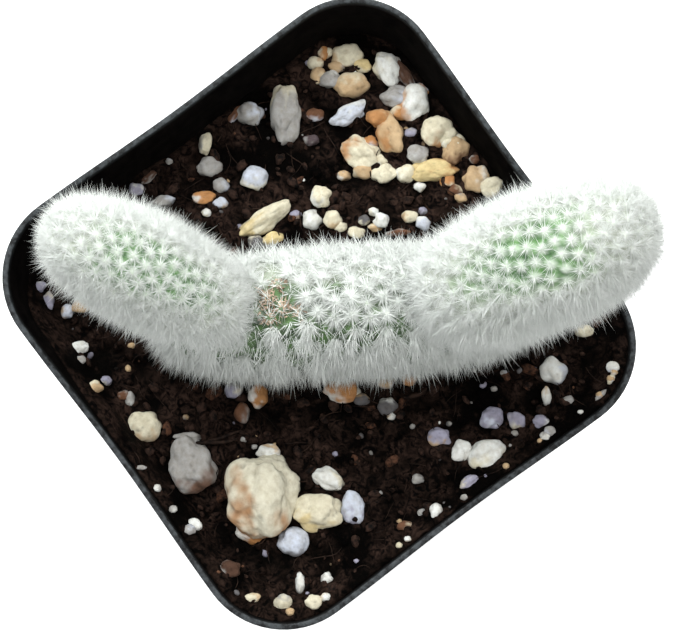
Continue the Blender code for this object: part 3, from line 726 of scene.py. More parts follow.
BLACK_PLASTIC = black_plastic()
DARK_SOIL = dark_soil()
PUMICE = pumice()
GREEN_SKIN = green_skin("green_cactus_skin", srgb(84, 124, 58), srgb(22, 40, 22))
YOUNG_SKIN = green_skin("young_green_skin", srgb(92, 146, 70), srgb(40, 82, 38))
WHITE_SPINES, _, _ = two_tone(
    "white_spines", srgb(252, 254, 251), srgb(229, 233, 228), 1.2, 1.2, Roughness=0.45)
DRY_SPINES, _, _ = two_tone(
    "dried_brown_spines", srgb(230, 208, 184), srgb(112, 80, 58), 1.2, 1.2, Roughness=0.45)
BARK = bark("bark_crumbs", srgb(56, 40, 33), srgb(12, 9, 8), 0.8)
RED_BARK = bark("red_bark_chips", srgb(84, 56, 42), srgb(28, 19, 15), 0.7)
ROOT_FIBRE = bark("root_fibres", srgb(54, 40, 33), srgb(18, 13, 11), 1.5)


# The pot

def rounded_square(half, radius, spring, z, corner_steps=16, side_steps=14):
    """A square ring with round corners and sides sprung in, anticlockwise seen from above."""
    points = []
    for corner in range(4):
        turn = Matrix.Rotation(corner * math.pi / 2, 3, "Z")
        for step in range(corner_steps + 1):
            angle = step / corner_steps * math.pi / 2
            x = half - radius + radius * math.cos(angle)
            y = half - radius + radius * math.sin(angle)
            points.append(turn @ Vector((x, y, z)))
        for step in range(1, side_steps):
            share = step / side_steps
            x = (half - radius) * (1 - 2 * share)
            y = half - spring * math.sin(math.pi * share) ** 2
            points.append(turn @ Vector((x, y, z)))
    return points


def pot_profile():
    """Heights and distances outside the plain wall, from the foot over the lip to the floor."""
    collar = POT_HEIGHT - COLLAR_HEIGHT
    lip = POT_HEIGHT - LIP_DEPTH
    proud = COLLAR_STEP + LIP_STEP
    rim = 0.28 * MM
    profile = [(0.0, -1.0 * MM), (0.15 * MM, -0.45 * MM), (0.6 * MM, -0.1 * MM), (1.2 * MM, 0.0)]
    profile += [(collar * share, 0.0) for share in (0.2, 0.4, 0.6, 0.8, 0.995)]
    profile += [(collar + 0.1 * MM, 0.05 * MM), (collar + COLLAR_STEP, COLLAR_STEP - 0.05 * MM),
                (collar + COLLAR_STEP + 0.1 * MM, COLLAR_STEP), (lip - 0.1 * MM, COLLAR_STEP),
                (lip + LIP_STEP, proud)]
    for step in range(6):
        angle = step / 5 * math.pi / 2
        profile.append((POT_HEIGHT - rim + rim * math.sin(angle),
                        proud - rim + rim * math.cos(angle)))
    inner = 0.2 * MM
    for step in range(5):
        angle = step / 4 * math.pi / 2
        profile.append((POT_HEIGHT - inner + inner * math.cos(angle),
                        proud - LIP_WALL + inner - inner * math.sin(angle)))
    for share in (0.25, 0.5, 0.75, 1.0):
        out = (proud - LIP_WALL + POT_WALL) * math.cos(share * math.pi / 2) ** 2
        profile.append((POT_HEIGHT - LIP_FLARE * share, out - POT_WALL))
    depth = POT_HEIGHT - LIP_FLARE - POT_FLOOR
    profile += [(POT_FLOOR + depth * share, -POT_WALL) for share in (0.66, 0.33, 0.0)]
    return profile


def make_pot():
    """The pot as one closed wall, with its lip paler from wear and a painted sheen, and its inside
    darker from soil dust and painted shade.
    """
    bm = bmesh.new()
    rows = []
    for z, proud in pot_profile():
        spring = SIDE_SPRING * z / POT_HEIGHT
        ring = rounded_square(wall_half(z) + proud, wall_corner(z) + proud, spring, z)
        rows.append([bm.verts.new(point) for point in ring])
    for low, high in zip(rows, rows[1:]):
        for i, corner in enumerate(low):
            j = (i + 1) % len(low)
            bm.faces.new((corner, low[j], high[j], high[i]))
    bm.faces.new(rows[0][::-1])
    bm.faces.new(rows[-1])
    bmesh.ops.recalc_face_normals(bm, faces=bm.faces)
    pot = finished(object_from(bm, "nursery_pot"), BLACK_PLASTIC)
    heights = np.array([z for z, _ in pot_profile()])
    # Mask of the paler lip: partly wear, partly a painted sheen.
    wear_and_sheen = ramp(POT_HEIGHT - heights, 0.22 * MM, 0.04 * MM)
    paint(pot, "lip_wear_and_sheen", np.repeat(wear_and_sheen, len(rows[0])))
    inside = np.arange(len(heights)) > np.flatnonzero(heights == heights.max()).max()
    # Mask of the darker inside wall: partly soil dust, partly painted shade.
    dust_and_shade = inside * ramp(POT_HEIGHT - heights, 0.1 * MM, 0.9 * MM)
    paint(pot, "soil_dust_and_shade", np.repeat(dust_and_shade, len(rows[0])))
    pot.data.set_sharp_from_angle(angle=math.radians(50))
    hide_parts("pot")
    cut_drains(pot)


def cut_drains(pot):
    """Cuts the drain holes out of the pot's floor."""
    bm = bmesh.new()
    inner = POT_FOOT / 2 - POT_WALL
    for quarter in range(4):
        turn = Matrix.Rotation(quarter * math.pi / 2, 4, "Z")
        for x, y, size in DRAINS:
            place = turn @ Matrix.Translation((x * inner, y * inner, POT_FLOOR / 2))
            bmesh.ops.create_cone(bm, cap_ends=True, segments=40, radius1=size / 2,
                                  radius2=size / 2, depth=4 * POT_FLOOR, matrix=place)
    cutter = object_from(bm, "drain_cutter")
    bpy.context.scene.collection.objects.link(cutter)
    modifier = pot.modifiers.new("drain_holes", "BOOLEAN")
    modifier.operation = "DIFFERENCE"
    modifier.solver = "EXACT"
    modifier.object = cutter
    depsgraph = bpy.context.evaluated_depsgraph_get()
    cut_mesh = bpy.data.meshes.new_from_object(pot.evaluated_get(depsgraph))
    pot.modifiers.clear()
    pot.data = cut_mesh
    bpy.data.objects.remove(cutter, do_unlink=True)


# The soil and what lies in it

def soil_relief(points):
    """How far the crumbs stand above or below the level of the soil."""
    clods = 0.55 - cells_at(points, CLOD_SIZE, 1)
    crumbs = 0.5 - cells_at(points, CRUMB_SIZE, 2)
    rough = noise_at(points, 4.5 * MM, 3, octaves=4)
    calm = 1 - 0.6 * ramp(lip_gap(points[:, 0], points[:, 1]), 2.5 * MM, 0.5 * MM)
    return (0.95 * clods + 0.42 * crumbs + 0.45 * rough) * calm * MM


def soil_surface(s, t):
    """Points of the soil's surface for s and t from -1 to 1 across the pot."""
    ring = np.maximum(np.maximum(np.abs(s), np.abs(t)), 1e-9)
    a, b = s / ring, t / ring
    level = POT_HEIGHT - SOIL_BELOW_LIP
    for _ in range(4):
        half = inner_half(level)
        core = 1 - (wall_corner(level) - POT_WALL) / half
        past_a, past_b = np.maximum(np.abs(a) - core, 0), np.maximum(np.abs(b) - core, 0)
        length = np.maximum(np.hypot(past_a, past_b), 1e-9)
        pull = np.where((past_a > 0) & (past_b > 0), (1 - core) / length, 1.0)
        spring = SIDE_SPRING * level / POT_HEIGHT / half
        bow_a = 1 - spring * np.cos(math.pi / 2 * np.minimum(np.abs(b) / core, 1)) ** 2
        bow_b = 1 - spring * np.cos(math.pi / 2 * np.minimum(np.abs(a) / core, 1)) ** 2
        x = half * ring * bow_a * np.where(past_a > 0, np.sign(a) * (core + past_a * pull), a)
        y = half * ring * bow_b * np.where(past_b > 0, np.sign(b) * (core + past_b * pull), b)
        level = ground_height(x, y)
    return np.stack((x, y, level), -1)


def make_soil():
    """The soil as one closed body: its crumbly top, and sides that follow the pot to the floor."""
    steps = np.linspace(-1, 1, SOIL_STEPS)
    t, s = np.meshgrid(steps, steps, indexing="ij")
    top = soil_surface(s.ravel(), t.ravel())
    flat = top.copy()
    flat[:, 2] = 0
    relief = soil_relief(flat)
    top[:, 2] += relief
    index = np.arange(SOIL_STEPS ** 2).reshape(SOIL_STEPS, SOIL_STEPS)
    edge = np.concatenate((index[0, :-1], index[:-1, -1], index[-1, :0:-1], index[:0:-1, 0]))
    shares = (0.02, 0.05, 0.1, 0.4, 0.7, 1.0)
    low = POT_FLOOR + 0.2 * MM
    rows = [top]
    for share in shares:
        row = top[edge].copy()
        row[:, 2] = row[:, 2] * (1 - share) + low * share
        narrow = inner_half(row[:, 2]) / inner_half(top[edge][:, 2])
        row[:, :2] *= narrow[:, None]
        rows.append(row)
    points = np.concatenate(rows + [np.array([[0, 0, low]])])
    faces = [grid_faces(SOIL_STEPS, SOIL_STEPS)]
    above = edge
    start = len(top)
    for _ in shares:
        below = start + np.arange(len(edge))
        faces.append(np.stack((np.roll(above, -1), above, below, np.roll(below, -1)), -1))
        above = below
        start += len(edge)
    bed = mesh_piece("soil_bed", points, np.concatenate(faces), DARK_SOIL, "potting_soil")
    close_rings(bed, [(above, len(points) - 1)])
    # Painted shade for the soil's hollows, strongest where the crumbs sink lowest.
    depth = np.clip((0.3 * MM - relief) / (0.8 * MM), 0, 1) * 0.9
    paint(bed, "hollow_shade", np.concatenate((depth, np.zeros(len(points) - len(top)))))
    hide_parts("soil")


def soil_top(x, y):
    """The height of the crumbly surface at a place, for single values or arrays."""
    x, y = np.atleast_1d(x).astype(float), np.atleast_1d(y).astype(float)
    flat = np.stack((x, y, np.zeros_like(x)), -1)
    return ground_height(x, y) + soil_relief(flat)


def in_pot(points, margin):
    """Which places in plan are inside the pot's wall by a margin."""
    level = ground_height(points[:, 0], points[:, 1])
    half = inner_half(level) - SIDE_SPRING - margin
    core = wall_half(level) - wall_corner(level)
    past = np.maximum(np.abs(points[:, :2]) - core[:, None], 0)
    return np.linalg.norm(past, axis=1) < half - core


def stone_points(seed, place, shape, turn, fineness, rough):
    """A lumpy stone: broad lumps as on the solid, then knobs, facets and pits."""
    points, faces = ball(fineness)
    offset = seed * SEED_STEP
    lumps = np.array([noise.noise(Vector(p) * LUMP_COUNT + offset) for p in points])
    knobs = cells_at(points, 0.34, seed + 31)
    finer = noise_at(points, 0.13, seed + 57, octaves=3)
    pits = np.clip(0.30 - cells_at(points, 0.20, seed + 83), 0, 1)
    detail = 0.17 * (0.4 - 1.2 * knobs ** 2) + 0.035 * finer - 0.2 * pits
    swell = 1 + LUMP_DEPTH * lumps + rough * detail
    shaped = points * swell[:, None] * np.array(shape)
    spin = np.array(Matrix.Rotation(PLAN_TURN + turn, 3, "Z"))
    return shaped @ spin.T + np.array(place), faces, points, pits


def stone_tones(points, unit, pits, seed, tone, stain, side):
    """Colours of a stone's points: its tone, a stain on one side, and soil where it lies in it."""
    bearing = np.array((math.cos(side), math.sin(side), 0.0))
    spot = unit @ bearing * 1.8 + 0.85 * noise_at(unit, 0.34, seed + 7, octaves=3)
    share = 0.9 * ramp(spot, 0.1, 1.0)[:, None]
    colours = (1 - share) * np.array(TONES[tone]) + share * np.array(TONES[stain])
    rise = points[:, 2] - soil_height(points[:, 0], points[:, 1])
    muddy = 0.75 - rise / (0.8 * MM) + 0.7 * noise_at(points, 0.9 * MM, seed)
    muddy = np.clip(muddy, 0, 1)[:, None]
    muddy = np.maximum(0.85 * muddy, np.clip(1.5 * pits, 0, 0.3)[:, None])
    return (1 - muddy) * colours + muddy * np.array(TONES["soil"])


def make_stones():
    """The stones that the model has as solids, each in the place of its solid."""
    for seed, (name, u, v, length, width, turn, tone, stain, side) in enumerate(STONES):
        shape = MM * Vector((length, width, STONE_HEIGHT * width))
        place = stone_place(u, v, STONE_REACH * shape.y + GAP)
        place.z = soil_height(place.x, place.y) + STONE_SINK * shape.z
        shape *= PEBBLE_SWELL if length < PEBBLE_LENGTH else 1.0
        fineness = 6 if length > 9 else 5 if length > 4.6 else 4
        points, faces, unit, pits = stone_points(
            seed, place, shape, math.radians(turn), fineness, 1.0)
        stone = mesh_piece(name + "_lump", points, faces, PUMICE, "pale_pumice")
        own_side = math.radians(side - turn)
        paint(stone, "tone", stone_tones(points, unit, pits, seed, tone, stain, own_side))
        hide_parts(name)


def make_granules():
    """All the small granules as one piece: the listed ones, then finer ones at random."""
    rng = random.Random(5)
    stains = ("white", "cream", "grey", "tan", "blue_white")
    grains = [(*grain, rng.choice(stains)) for grain in GRANULES]
    for _ in range(DUST_GRAINS):
        size = 0.35 + 0.75 * rng.random() ** 2.5
        tone = rng.choice(("grey", "lavender", "tan", "dark_grey", "white", "brown"))
        u, v = rng.uniform(-44, 44), rng.uniform(-44, 44)
        grains.append((u, v, size, 0.8 * size, rng.uniform(0, 360), tone, tone))
    parts, tones = [], []
    for number, (u, v, length, width, turn, tone, stain) in enumerate(grains):
        spot = plan_point(u * MM, v * MM)
        reach = 0.5 * width * MM + GAP
        if number >= len(GRANULES) and not in_pot(np.array([spot[:]]), reach)[0]:
            continue
        shape = MM * Vector((length, width, GRANULE_HEIGHT * width))
        place = kept_inside(spot, reach)
        place.z = ground_height(place.x, place.y) + 0.20 * shape.z
        if length < TOP_GRAIN:
            place.z = soil_top(place.x, place.y)[0] + 0.1 * shape.z
        fineness = 4 if length > 2.7 else 3 if length > 1.1 else 2
        seed = FIRST_GRAIN_SEED + number
        points, faces, unit, pits = stone_points(
            seed, place, shape, math.radians(turn), fineness, 0.9)
        tones.append(stone_tones(points, unit, pits, seed, tone, stain, rng.uniform(0, 6.28)))
        parts.append((points, faces))
    grit = mesh_piece("grit_and_perlite", *joined(parts), PUMICE, "pale_pumice")
    paint(grit, "tone", np.concatenate(tones))


def scattered_lumps(name, count, sizes, finish, seed, shape, fineness):
    """Irregular lumps strewn over the soil."""
    rng = np.random.default_rng(seed)
    unit, unit_faces = ball(fineness)
    spots = rng.uniform(-0.5, 0.5, (3 * count, 2)) * POT_SIDE
    spots = spots[in_pot(spots, 0.6 * sizes[1])][:count]
    tops = soil_top(spots[:, 0], spots[:, 1])
    parts = []
    for number, (spot, top) in enumerate(zip(spots, tops)):
        size = sizes[0] + (sizes[1] - sizes[0]) * rng.random() ** 2
        lumps = 1 + 0.45 * noise_at(unit, 0.42, seed + number)
        own = unit * lumps[:, None] * np.array(shape) * size
        turn = Matrix.Rotation(rng.uniform(0, 6.28), 3, "Z") @ Matrix.Rotation(
            rng.normal(0, 0.45), 3, "X")
        place = np.array((spot[0], spot[1], top + 0.12 * size))
        parts.append((own @ np.array(turn).T + place, unit_faces))
    mesh_piece(name, *joined(parts), finish, "potting_soil")


def strand(path, radii, sides=4):
    """Points and faces of a thin tube along a path, closed to a point at both ends."""
    along = unit_rows(np.gradient(path, axis=0))
    side = unit_rows(np.cross(along, (0.13, 0.21, 0.97)))
    ring = ring_ways(side, np.cross(side, along), sides)
    points = (path[:, None] + ring * radii[:, None, None]).reshape(-1, 3)
    return points, grid_faces(len(path), sides, wrap=True)


def make_fibres():
    """Short root fibres at random and a few long ones, which follow the soil."""
    rng = np.random.default_rng(11)
    fibres = []
    for _ in range(SHORT_FIBRES):
        spot = rng.uniform(-0.5, 0.5, 2) * POT_SIDE
        fibres.append((spot, rng.uniform(0, 6.28), rng.uniform(1.2, 5.0) * MM,
                       rng.uniform(0.03, 0.09) * MM, rng.normal(0, 0.2)))
    for u, v, bearing, length, radius in LONG_FIBRES:
        spot = plan_point(u * MM, v * MM)
        fibres.append((np.array(spot[:2]), PLAN_TURN + math.radians(bearing), length * MM,
                       radius * MM, 0.1))
    parts = []
    steps = 9
    for spot, bearing, length, radius, curl in fibres:
        sway = np.cumsum(rng.normal(0, 0.12, steps))
        turns = bearing + curl * np.linspace(0, 1, steps) * 3 + sway
        way = np.stack((np.cos(turns), np.sin(turns)), -1) * length / steps
        plan = spot + np.cumsum(way, axis=0)
        if not in_pot(plan, 0.3 * MM).all():
            continue
        hug = soil_top(plan[:, 0], plan[:, 1])
        level = np.convolve(np.pad(hug, 2, "edge"), np.ones(5) / 5, "valid")
        height = level + 0.25 * MM + radius + 0.35 * MM * np.sin(np.linspace(0, math.pi, steps))
        path = np.column_stack((plan, height))
        radii = radius * np.sin(np.linspace(0.12, math.pi - 0.12, steps)) ** 0.5
        parts.append(strand(path, radii))
    mesh_piece("root_fibres", *joined(parts), ROOT_FIBRE, "potting_soil")


# The pads and their spines

def spread_places(pad, seed, rounds=90):
    """Even places for the areoles of a pad, as theta and phi: random ones that push apart."""
    rng = np.random.default_rng(seed)
    grid_theta = np.linspace(0.02, math.pi - 0.02, 121)
    grid_phi = np.linspace(0, 2 * math.pi, 181)
    grid = pad_skin(pad, grid_theta[:, None], grid_phi[None, :])
    climb = grid[1:, :-1] - grid[:-1, :-1]
    girth = grid[:-1, 1:] - grid[:-1, :-1]
    areas = np.linalg.norm(np.cross(climb, girth), axis=-1)
    pitch = pad["areole_pitch"]
    count = round(areas.sum() / (math.sqrt(0.75) * pitch ** 2))
    cells = rng.choice(areas.size, count, p=(areas / areas.sum()).ravel())
    row, column = np.unravel_index(cells, areas.shape)
    theta = grid_theta[row] + rng.random(count) * (grid_theta[1] - grid_theta[0])
    phi = grid_phi[column] + rng.random(count) * (grid_phi[1] - grid_phi[0])
    reach = 1.5 * pitch
    for step in np.linspace(0.3, 0.03, rounds):
        places, up, along = skin_steps(pad, theta, phi)
        up, along = up / TINY_STEP, along / TINY_STEP
        apart = places[:, None] - places[None, :]
        distance = np.linalg.norm(apart, axis=-1) + 0.2 * pitch
        push = np.maximum(0.0, reach / distance - 1.0) ** 2 / distance
        move = step * pitch * (apart * push[..., None]).sum(axis=1)
        uu, ua, aa = (up * up).sum(1), (up * along).sum(1), (along * along).sum(1)
        mu, ma = (move * up).sum(1), (move * along).sum(1)
        solid = uu * aa - ua ** 2 + 1e-14
        theta = np.clip(theta + (mu * aa - ma * ua) / solid, 0.02, math.pi - 0.02)
        phi = phi + np.clip((ma * uu - mu * ua) / solid, -0.5, 0.5)
    return theta, phi


def skin_frame(pad, matrix, theta, phi):
    """Places on a pad's skin with their outward, crownward and sideways directions."""
    places, up, along = skin_steps(pad, theta, phi)
    out = np.cross(along, up)
    away = places - np.array((0, 0, 0.5 * pad["length"]))
    out *= np.sign((out * away).sum(1))[:, None]
    turn = np.array(matrix.to_3x3()).T
    out, up = unit_rows(out) @ turn, unit_rows(up) @ turn
    up = unit_rows(up - (up * out).sum(1)[:, None] * out)
    return carried(matrix, places), out, up, np.cross(out, up)


def make_flesh(pad, matrix, areoles, woolly):
    """The pad's skin, raised round each areole; woolly is how much felt each areole has."""
    rows, columns = FLESH_GRID
    theta = np.linspace(0.03, math.pi - 0.03, rows)
    phi = np.linspace(0, 2 * math.pi, columns, endpoint=False)
    grid_theta, grid_phi = (a.ravel() for a in np.meshgrid(theta, phi, indexing="ij"))
    places, out, _, _ = skin_frame(pad, matrix, grid_theta, grid_phi)
    nearest = np.full(len(places), 1.0)
    owner = np.zeros(len(places), int)
    for block in np.array_split(np.arange(len(places)), 30):
        apart = np.linalg.norm(places[block][:, None] - areoles[None], axis=-1)
        owner[block] = apart.argmin(axis=1)
        nearest[block] = apart.min(axis=1)
    knob = np.exp(-(nearest / (KNOB_WIDTH * pad["areole_pitch"])) ** 2)
    places = places + out * (KNOB_HEIGHT * knob - FLESH_SINK)[:, None]
    foot = carried(matrix, np.array([[0, 0, 0.25 * MM]]))
    crown = carried(matrix, np.array([[0, 0, pad["length"] - 0.25 * MM]]))
    points = np.concatenate((places, foot, crown))
    flesh = mesh_piece(pad["name"] + "_flesh", points, grid_faces(rows, columns, wrap=True),
                       GREEN_SKIN if pad is BASE_PAD else YOUNG_SKIN, "spiny_green_skin")
    ring = np.arange(columns)
    close_rings(flesh, [(ring, len(places)), (ring + (rows - 1) * columns, len(places) + 1)])
    felt = woolly[owner] * np.exp(-(nearest / (pad["felt"] * pad["areole_pitch"])) ** 3)
    paint(flesh, "areole", np.concatenate((felt, (0.0, 0.0))))
    back = out @ np.array(plan_point(0, 1))
    if pad is BASE_PAD:
        down = 0.5 * ramp(back, 0.3, 0.8)
    else:
        down = 0.8 * (1 - sunny_share(grid_theta, out))
    paint(flesh, "down", np.concatenate((down, (0.0, 0.0))))
    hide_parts(pad["name"])


def needles(name, roots, ways, bends, radii, joints, finish):
    """Three-sided needles that taper to a point; joints is 1 for straight ones, 2 for bent ones."""
    count = len(roots)
    shares = np.arange(joints + 1) / joints
    path = (roots[:, None] + ways[:, None] * shares[None, :, None]
            + bends[:, None] * (shares ** 2)[None, :, None])
    axis = unit_rows(ways + bends)
    helper = np.where(np.abs(axis[:, 2:3]) < 0.8, np.array([[0, 0, 1.0]]), np.array([[1.0, 0, 0]]))
    side = unit_rows(np.cross(axis, helper))
    ring = ring_ways(side, np.cross(axis, side), 3)
    thin = radii[:, None] * (1 - shares[:-1] ** 1.6)[None, :]
    rings = path[:, :-1, None] + ring[:, None] * thin[:, :, None, None]
    points = np.concatenate((rings.reshape(count, -1, 3), path[:, -1:]), axis=1)
    one = []
    for joint in range(joints - 1):
        for i in range(3):
            a, b = 3 * joint + i, 3 * joint + (i + 1) % 3
            one += [(a, b, b + 3), (a, b + 3, a + 3)]
    last = 3 * (joints - 1)
    one += [(last + i, last + (i + 1) % 3, 3 * joints) for i in range(3)]
    each = points.shape[1]
    faces = (np.array(one)[None] + each * np.arange(count)[:, None, None]).reshape(-1, 3)
    mesh_piece(name, points.reshape(-1, 3), faces, finish, "spiny_green_skin")


def sunny_share(theta, out):
    """1 on the part of an ear that faces up, away from its foot and its tip."""
    share = theta / math.pi
    return ramp(out[:, 2], 0.45, 0.8) * ramp(share, 0.14, 0.3) * ramp(share, 0.86, 0.7)


def near_spots(places, spots, reach):
    """1 at places that lie near one of the spots in plan, 0 away from them."""
    result = np.zeros(len(places))
    for u, v in spots:
        spot = np.array(plan_point(u * MM, v * MM)[:2])
        distance = np.linalg.norm(places[:, :2] - spot, axis=1)
        result = np.maximum(result, ramp(distance, reach, 0.6 * reach))
    return result


def bare_share(places):
    """1 where the base pad's skin shows between its spines, 0 where they cover it."""
    return np.maximum.reduce((near_spots(places, DRIED_SPOTS, 1.6 * MM),
                              near_spots(places, THIN_SPOTS, 2.0 * MM),
                              near_spots(places, GAP_SPOTS, 1.2 * MM)))


def brow_share(out):
    """1 on the front of a pad, from where it turns over to its top."""
    return ramp(-out @ np.array(plan_point(0, 1)), 0.2, 0.5)


def fur_share(pad, theta, places, out):
    """How much of its full fur each areole of a pad has."""
    if pad is BASE_PAD:
        gaps = np.random.default_rng(9).random(len(places)) < 0.3
        return 1 - np.maximum(0.9 * bare_share(places), 0.9 * gaps * brow_share(out))
    patchy = 1 + 0.45 * noise_at(places, 4.5 * MM, 11)
    bare = np.clip((0.5 if pad is LEFT_EAR else 0.8) * patchy, 0, 0.95)
    return 1 - bare * sunny_share(theta, out) - 0.4 * ramp(out[:, 2], -0.2, -0.6)


def grow_wool(pad, matrix, others, kind, seed, fur):
    """One kind of spine on every areole of a pad."""
    rng = np.random.default_rng(seed)
    theta, phi = pad["places"]
    places, out, up, side = skin_frame(pad, matrix, theta, phi)
    keep = places[:, 2] > soil_height(places[:, 0], places[:, 1]) + 0.2 * MM
    clearance = 1.08 if pad is BASE_PAD else 0.97
    for other, other_matrix in others:
        keep &= skin_depth(other, other_matrix, places) > 1.0
    index = np.repeat(np.flatnonzero(keep), kind["count"])
    fur = fur * (1 - kind["brow_loss"] * brow_share(out))
    index = index[rng.random(len(index)) < fur[index]]
    count = len(index)
    turn = rng.uniform(0, 2 * math.pi, count)
    across = np.cos(turn)[:, None] * up[index] + np.sin(turn)[:, None] * side[index]
    splay = kind["splay"][0] + (kind["splay"][1] - kind["splay"][0]) * np.sqrt(rng.random(count))
    vigour = (0.78 + 0.38 * rng.random(len(places)))[index]
    forward = -np.array(plan_point(0, 1))
    front = ramp(out @ forward, 0.1, 0.6)[index]
    back = ramp(-out @ forward, 0.3, 0.8)[index]
    length = vigour * rng.uniform(*kind["length"], count) * (1 + 0.3 * front + 0.3 * back)
    splay *= 1 - kind["comb"] * front
    aim = np.cos(splay)[:, None] * out[index] + np.sin(splay)[:, None] * across
    aim += kind["comb"] * front[:, None] * (forward - (0, 0, 0.3))
    lean = rng.normal(0, 0.2, (len(places), 3))[index]
    if pad is BASE_PAD:
        lean = lean + rng.normal(0, 0.3, (count, 3)) * front[:, None]
    footward = ramp(theta / math.pi, 0.25, 0.05)[index] * (pad is not BASE_PAD)
    length *= 1 + 0.75 * footward
    aim += lean + (kind["lean"] - 0.6 * footward)[:, None] * up[index]
    aim = unit_rows(aim)
    if kind["loose"]:
        turn = rng.uniform(0, 2 * math.pi, count)
    aside = np.cos(turn)[:, None] * up[index] + np.sin(turn)[:, None] * side[index]
    apart = kind["spread"] * (np.sin(splay) + (1.4 * front if pad is BASE_PAD else 0))
    roots = places[index] + aside * (rng.random(count) * apart)[:, None]
    ways = aim * length[:, None]
    bends = rng.normal(0, kind["bend"], (count, 3)) * length[:, None]
    bends[:, 2] -= kind["droop"] * length
    tips = roots + ways + bends
    clear = tips[:, 2] > soil_height(tips[:, 0], tips[:, 1]) + 0.1 * MM
    for other, other_matrix in others:
        clear &= skin_depth(other, other_matrix, tips) > clearance
    radii = rng.uniform(*kind["radius"], count)
    needles(pad["name"] + kind["name"], roots[clear], ways[clear], bends[clear], radii[clear],
            kind["joints"], kind["finish"])


def spine_kind(name, count, length, splay, radius, spread, **more):
    """A kind of spine: how many grow on an areole, the least and the greatest length, splay and
    radius, and how far their roots spread. Splay is in radians, the rest in mm."""
    usual = dict(comb=0.0, lean=0.0, bend=0.0, droop=0.0, joints=1, brow_loss=0.0, loose=False,
                 finish=WHITE_SPINES)
    return dict(usual, name=name, count=count, length=[value * MM for value in length],
                splay=splay, radius=[value * MM for value in radius], spread=spread * MM, **more)


BASE_KINDS = (
    spine_kind("_star_spines", 100, (1.1, 2.3), (0.7, 1.5), (0.052, 0.078), 0.4, comb=0.5,
               brow_loss=0.3),
    spine_kind("_short_spines", 60, (0.5, 1.3), (0.0, 1.1), (0.048, 0.072), 0.4, comb=0.3,
               brow_loss=0.3),
    spine_kind("_long_spines", 18, (1.6, 2.9), (0.1, 1.25), (0.050, 0.074), 0.4, comb=0.6,
               lean=-0.15, bend=0.05, droop=0.14, joints=2),
)
LEFT_KINDS = (
    spine_kind("_short_spines", 110, (0.8, 1.6), (0.0, 1.45), (0.026, 0.038), 0.6, lean=0.1),
    spine_kind("_long_spines", 50, (1.4, 2.1), (0.0, 1.25), (0.030, 0.046), 0.5, lean=0.1),
    spine_kind("_bent_spines", 5, (1.8, 2.6), (0.0, 1.1), (0.030, 0.044), 0.4, comb=0.2,
               bend=0.08, droop=0.16, joints=2),
)
RIGHT_KINDS = (
    spine_kind("_short_spines", 100, (0.8, 1.7), (0.0, 1.45), (0.026, 0.040), 0.6, comb=0.1,
               lean=0.1),
    spine_kind("_long_spines", 48, (1.5, 2.3), (0.0, 1.25), (0.030, 0.048), 0.5, comb=0.3,
               lean=0.1),
    spine_kind("_bent_spines", 6, (1.9, 2.8), (0.0, 1.1), (0.030, 0.046), 0.4, comb=0.4,
               bend=0.08, droop=0.16, joints=2),
)
DRIED_KIND = spine_kind("_dried_spines", 60, (0.25, 0.8), (0.5, 1.5), (0.08, 0.17), 1.5,
                        bend=0.45, joints=2, loose=True, finish=DRY_SPINES)

# Places on the base pad, u and v in mm, where spines have dried, grow thin or leave gaps
DRIED_SPOTS = ((-4.8, 2.8), (-6.0, 1.0), (-3.0, -0.2), (-3.7, -1.0), (-5.4, -1.8))
THIN_SPOTS = ((-6.8, 4.0), (-4.2, 1.4), (-7.4, -5.2), (-2.4, -6.3), (-8.4, -2.4))
GAP_SPOTS = ((2.3, 2.2), (0.8, -3.9), (4.8, -4.3), (9.9, -3.3), (2.6, 5.0), (9.7, 3.3),
             (-0.6, 3.4), (6.6, 0.6), (5.9, 4.2), (-1.2, -1.4))


def make_pads():
    """Each pad's flesh and all its spines."""
    pads = (BASE_PAD, LEFT_EAR, RIGHT_EAR)
    matrices = pad_places()
    for number, (pad, matrix, kinds) in enumerate(
            zip(pads, matrices, (BASE_KINDS, LEFT_KINDS, RIGHT_KINDS))):
        pad["places"] = spread_places(pad, 40 + number)
        places, out, _, _ = skin_frame(pad, matrix, *pad["places"])
        others = [(p, m) for p, m in zip(pads, matrices) if p is not pad]
        fur = fur_share(pad, pad["places"][0], places, out)
        felt = np.full(len(places), 0.75)
        if pad is BASE_PAD:
            felt = fur * (1 - 0.8 * brow_share(out))
        make_flesh(pad, matrix, places, felt)
        for kind in kinds:
            grow_wool(pad, matrix, others, kind, 60 + number, fur)
        if pad is BASE_PAD:
            dried = near_spots(places, DRIED_SPOTS, 1.5 * MM) * ramp(out[:, 2], 0.3, 0.6)
            grow_wool(pad, matrix, others, DRIED_KIND, 70, dried)


# Floor, light and camera

def make_stage():
    """A plain pale floor, which glows a little so that it shows white."""
    mesh = bpy.data.meshes.new("studio_floor")
    half = 1.5
    mesh.from_pydata([(-half, -half, 0), (half, -half, 0), (half, half, 0), (-half, half, 0)], [],
                     [(0, 1, 2, 3)])
    floor = bpy.data.objects.new("studio_floor", mesh)
    bpy.context.scene.collection.objects.link(floor)
    finish, _, _ = new_finish(
        "pale_floor", Roughness=0.9, Base_Color=(0.93, 0.93, 0.93, 1.0),
        Emission_Color=(1.0, 1.0, 1.0, 1.0), Emission_Strength=0.55)
    mesh.materials.append(finish)


def add_softbox(name, place, target, size, power, colour):
    """A square soft light that faces a target."""
    light = bpy.data.lights.new(name, "AREA")
    light.size = size
    light.energy = power
    light.color = colour
    box = bpy.data.objects.new(name, light)
    box.location = place
    box.rotation_euler = (target - place).to_track_quat("-Z", "Y").to_euler()
    bpy.context.scene.collection.objects.link(box)


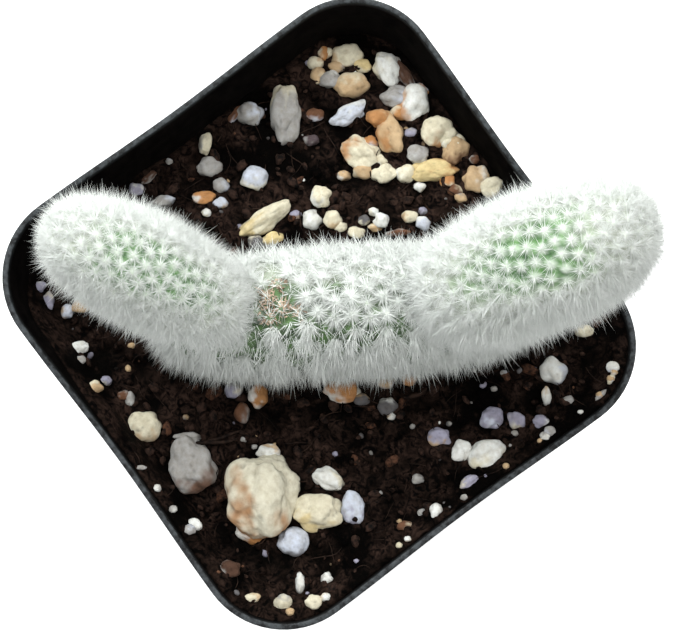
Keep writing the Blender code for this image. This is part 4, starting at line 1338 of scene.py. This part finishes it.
def make_light():
    """A cool window behind the pot, a weak warm fill overhead, and even light all round."""
    middle = Vector((0, 0, POT_HEIGHT))
    add_softbox("window_light", plan_point(-0.2, 0.46, 0.62), middle, 0.8, 8.5, (0.97, 1.0, 0.99))
    add_softbox("fill_light", plan_point(0.3, 0.0, 0.7), middle, 0.8, 2.2, (1.0, 0.99, 0.97))
    world = bpy.data.worlds.new("studio_air")
    world.use_nodes = True
    sky = world.node_tree.nodes["Background"]
    sky.inputs["Color"].default_value = (0.97, 1.0, 1.0, 1.0)
    sky.inputs["Strength"].default_value = 0.55
    bpy.context.scene.world = world
    bpy.context.scene.view_settings.view_transform = "Standard"


def make_camera():
    """Almost straight above the pot, as the photograph was taken."""
    slant = math.cos(CAMERA_ELEVATION)
    back = Vector((math.sin(PLAN_TURN) * slant, -math.cos(PLAN_TURN) * slant,
                   math.sin(CAMERA_ELEVATION)))
    right = Vector((math.cos(PLAN_TURN), math.sin(PLAN_TURN), 0.0))
    up = back.cross(right)
    camera = bpy.data.cameras.new("camera")
    camera.sensor_width = 36.0
    camera.lens = PIXELS_PER_MM * CAMERA_DISTANCE / MM / PHOTO_WIDTH * camera.sensor_width
    camera.clip_start = 0.01
    camera.clip_end = 10.0
    stand = bpy.data.objects.new("camera", camera)
    turn = Matrix((right, up, back)).transposed().to_4x4()
    aim = Vector((0, 0, POT_HEIGHT)) + AIM_RIGHT * right + AIM_UP * up
    stand.matrix_world = Matrix.Translation(aim + CAMERA_DISTANCE * back) @ turn
    bpy.context.scene.collection.objects.link(stand)
    bpy.context.scene.camera = stand


make_pot()
make_soil()
make_stones()
make_granules()
scattered_lumps("soil_crumbs", 600, (0.5 * MM, 1.7 * MM), DARK_SOIL, 21, (1.0, 0.8, 0.65), 2)
scattered_lumps("bark_crumbs", 420, (0.5 * MM, 1.8 * MM), BARK, 22, (1.1, 0.75, 0.5), 2)
scattered_lumps("red_bark_chips", 46, (0.8 * MM, 2.6 * MM), RED_BARK, 23, (1.1, 0.7, 0.4), 2)
make_fibres()
make_pads()
make_stage()
make_light()
make_camera()
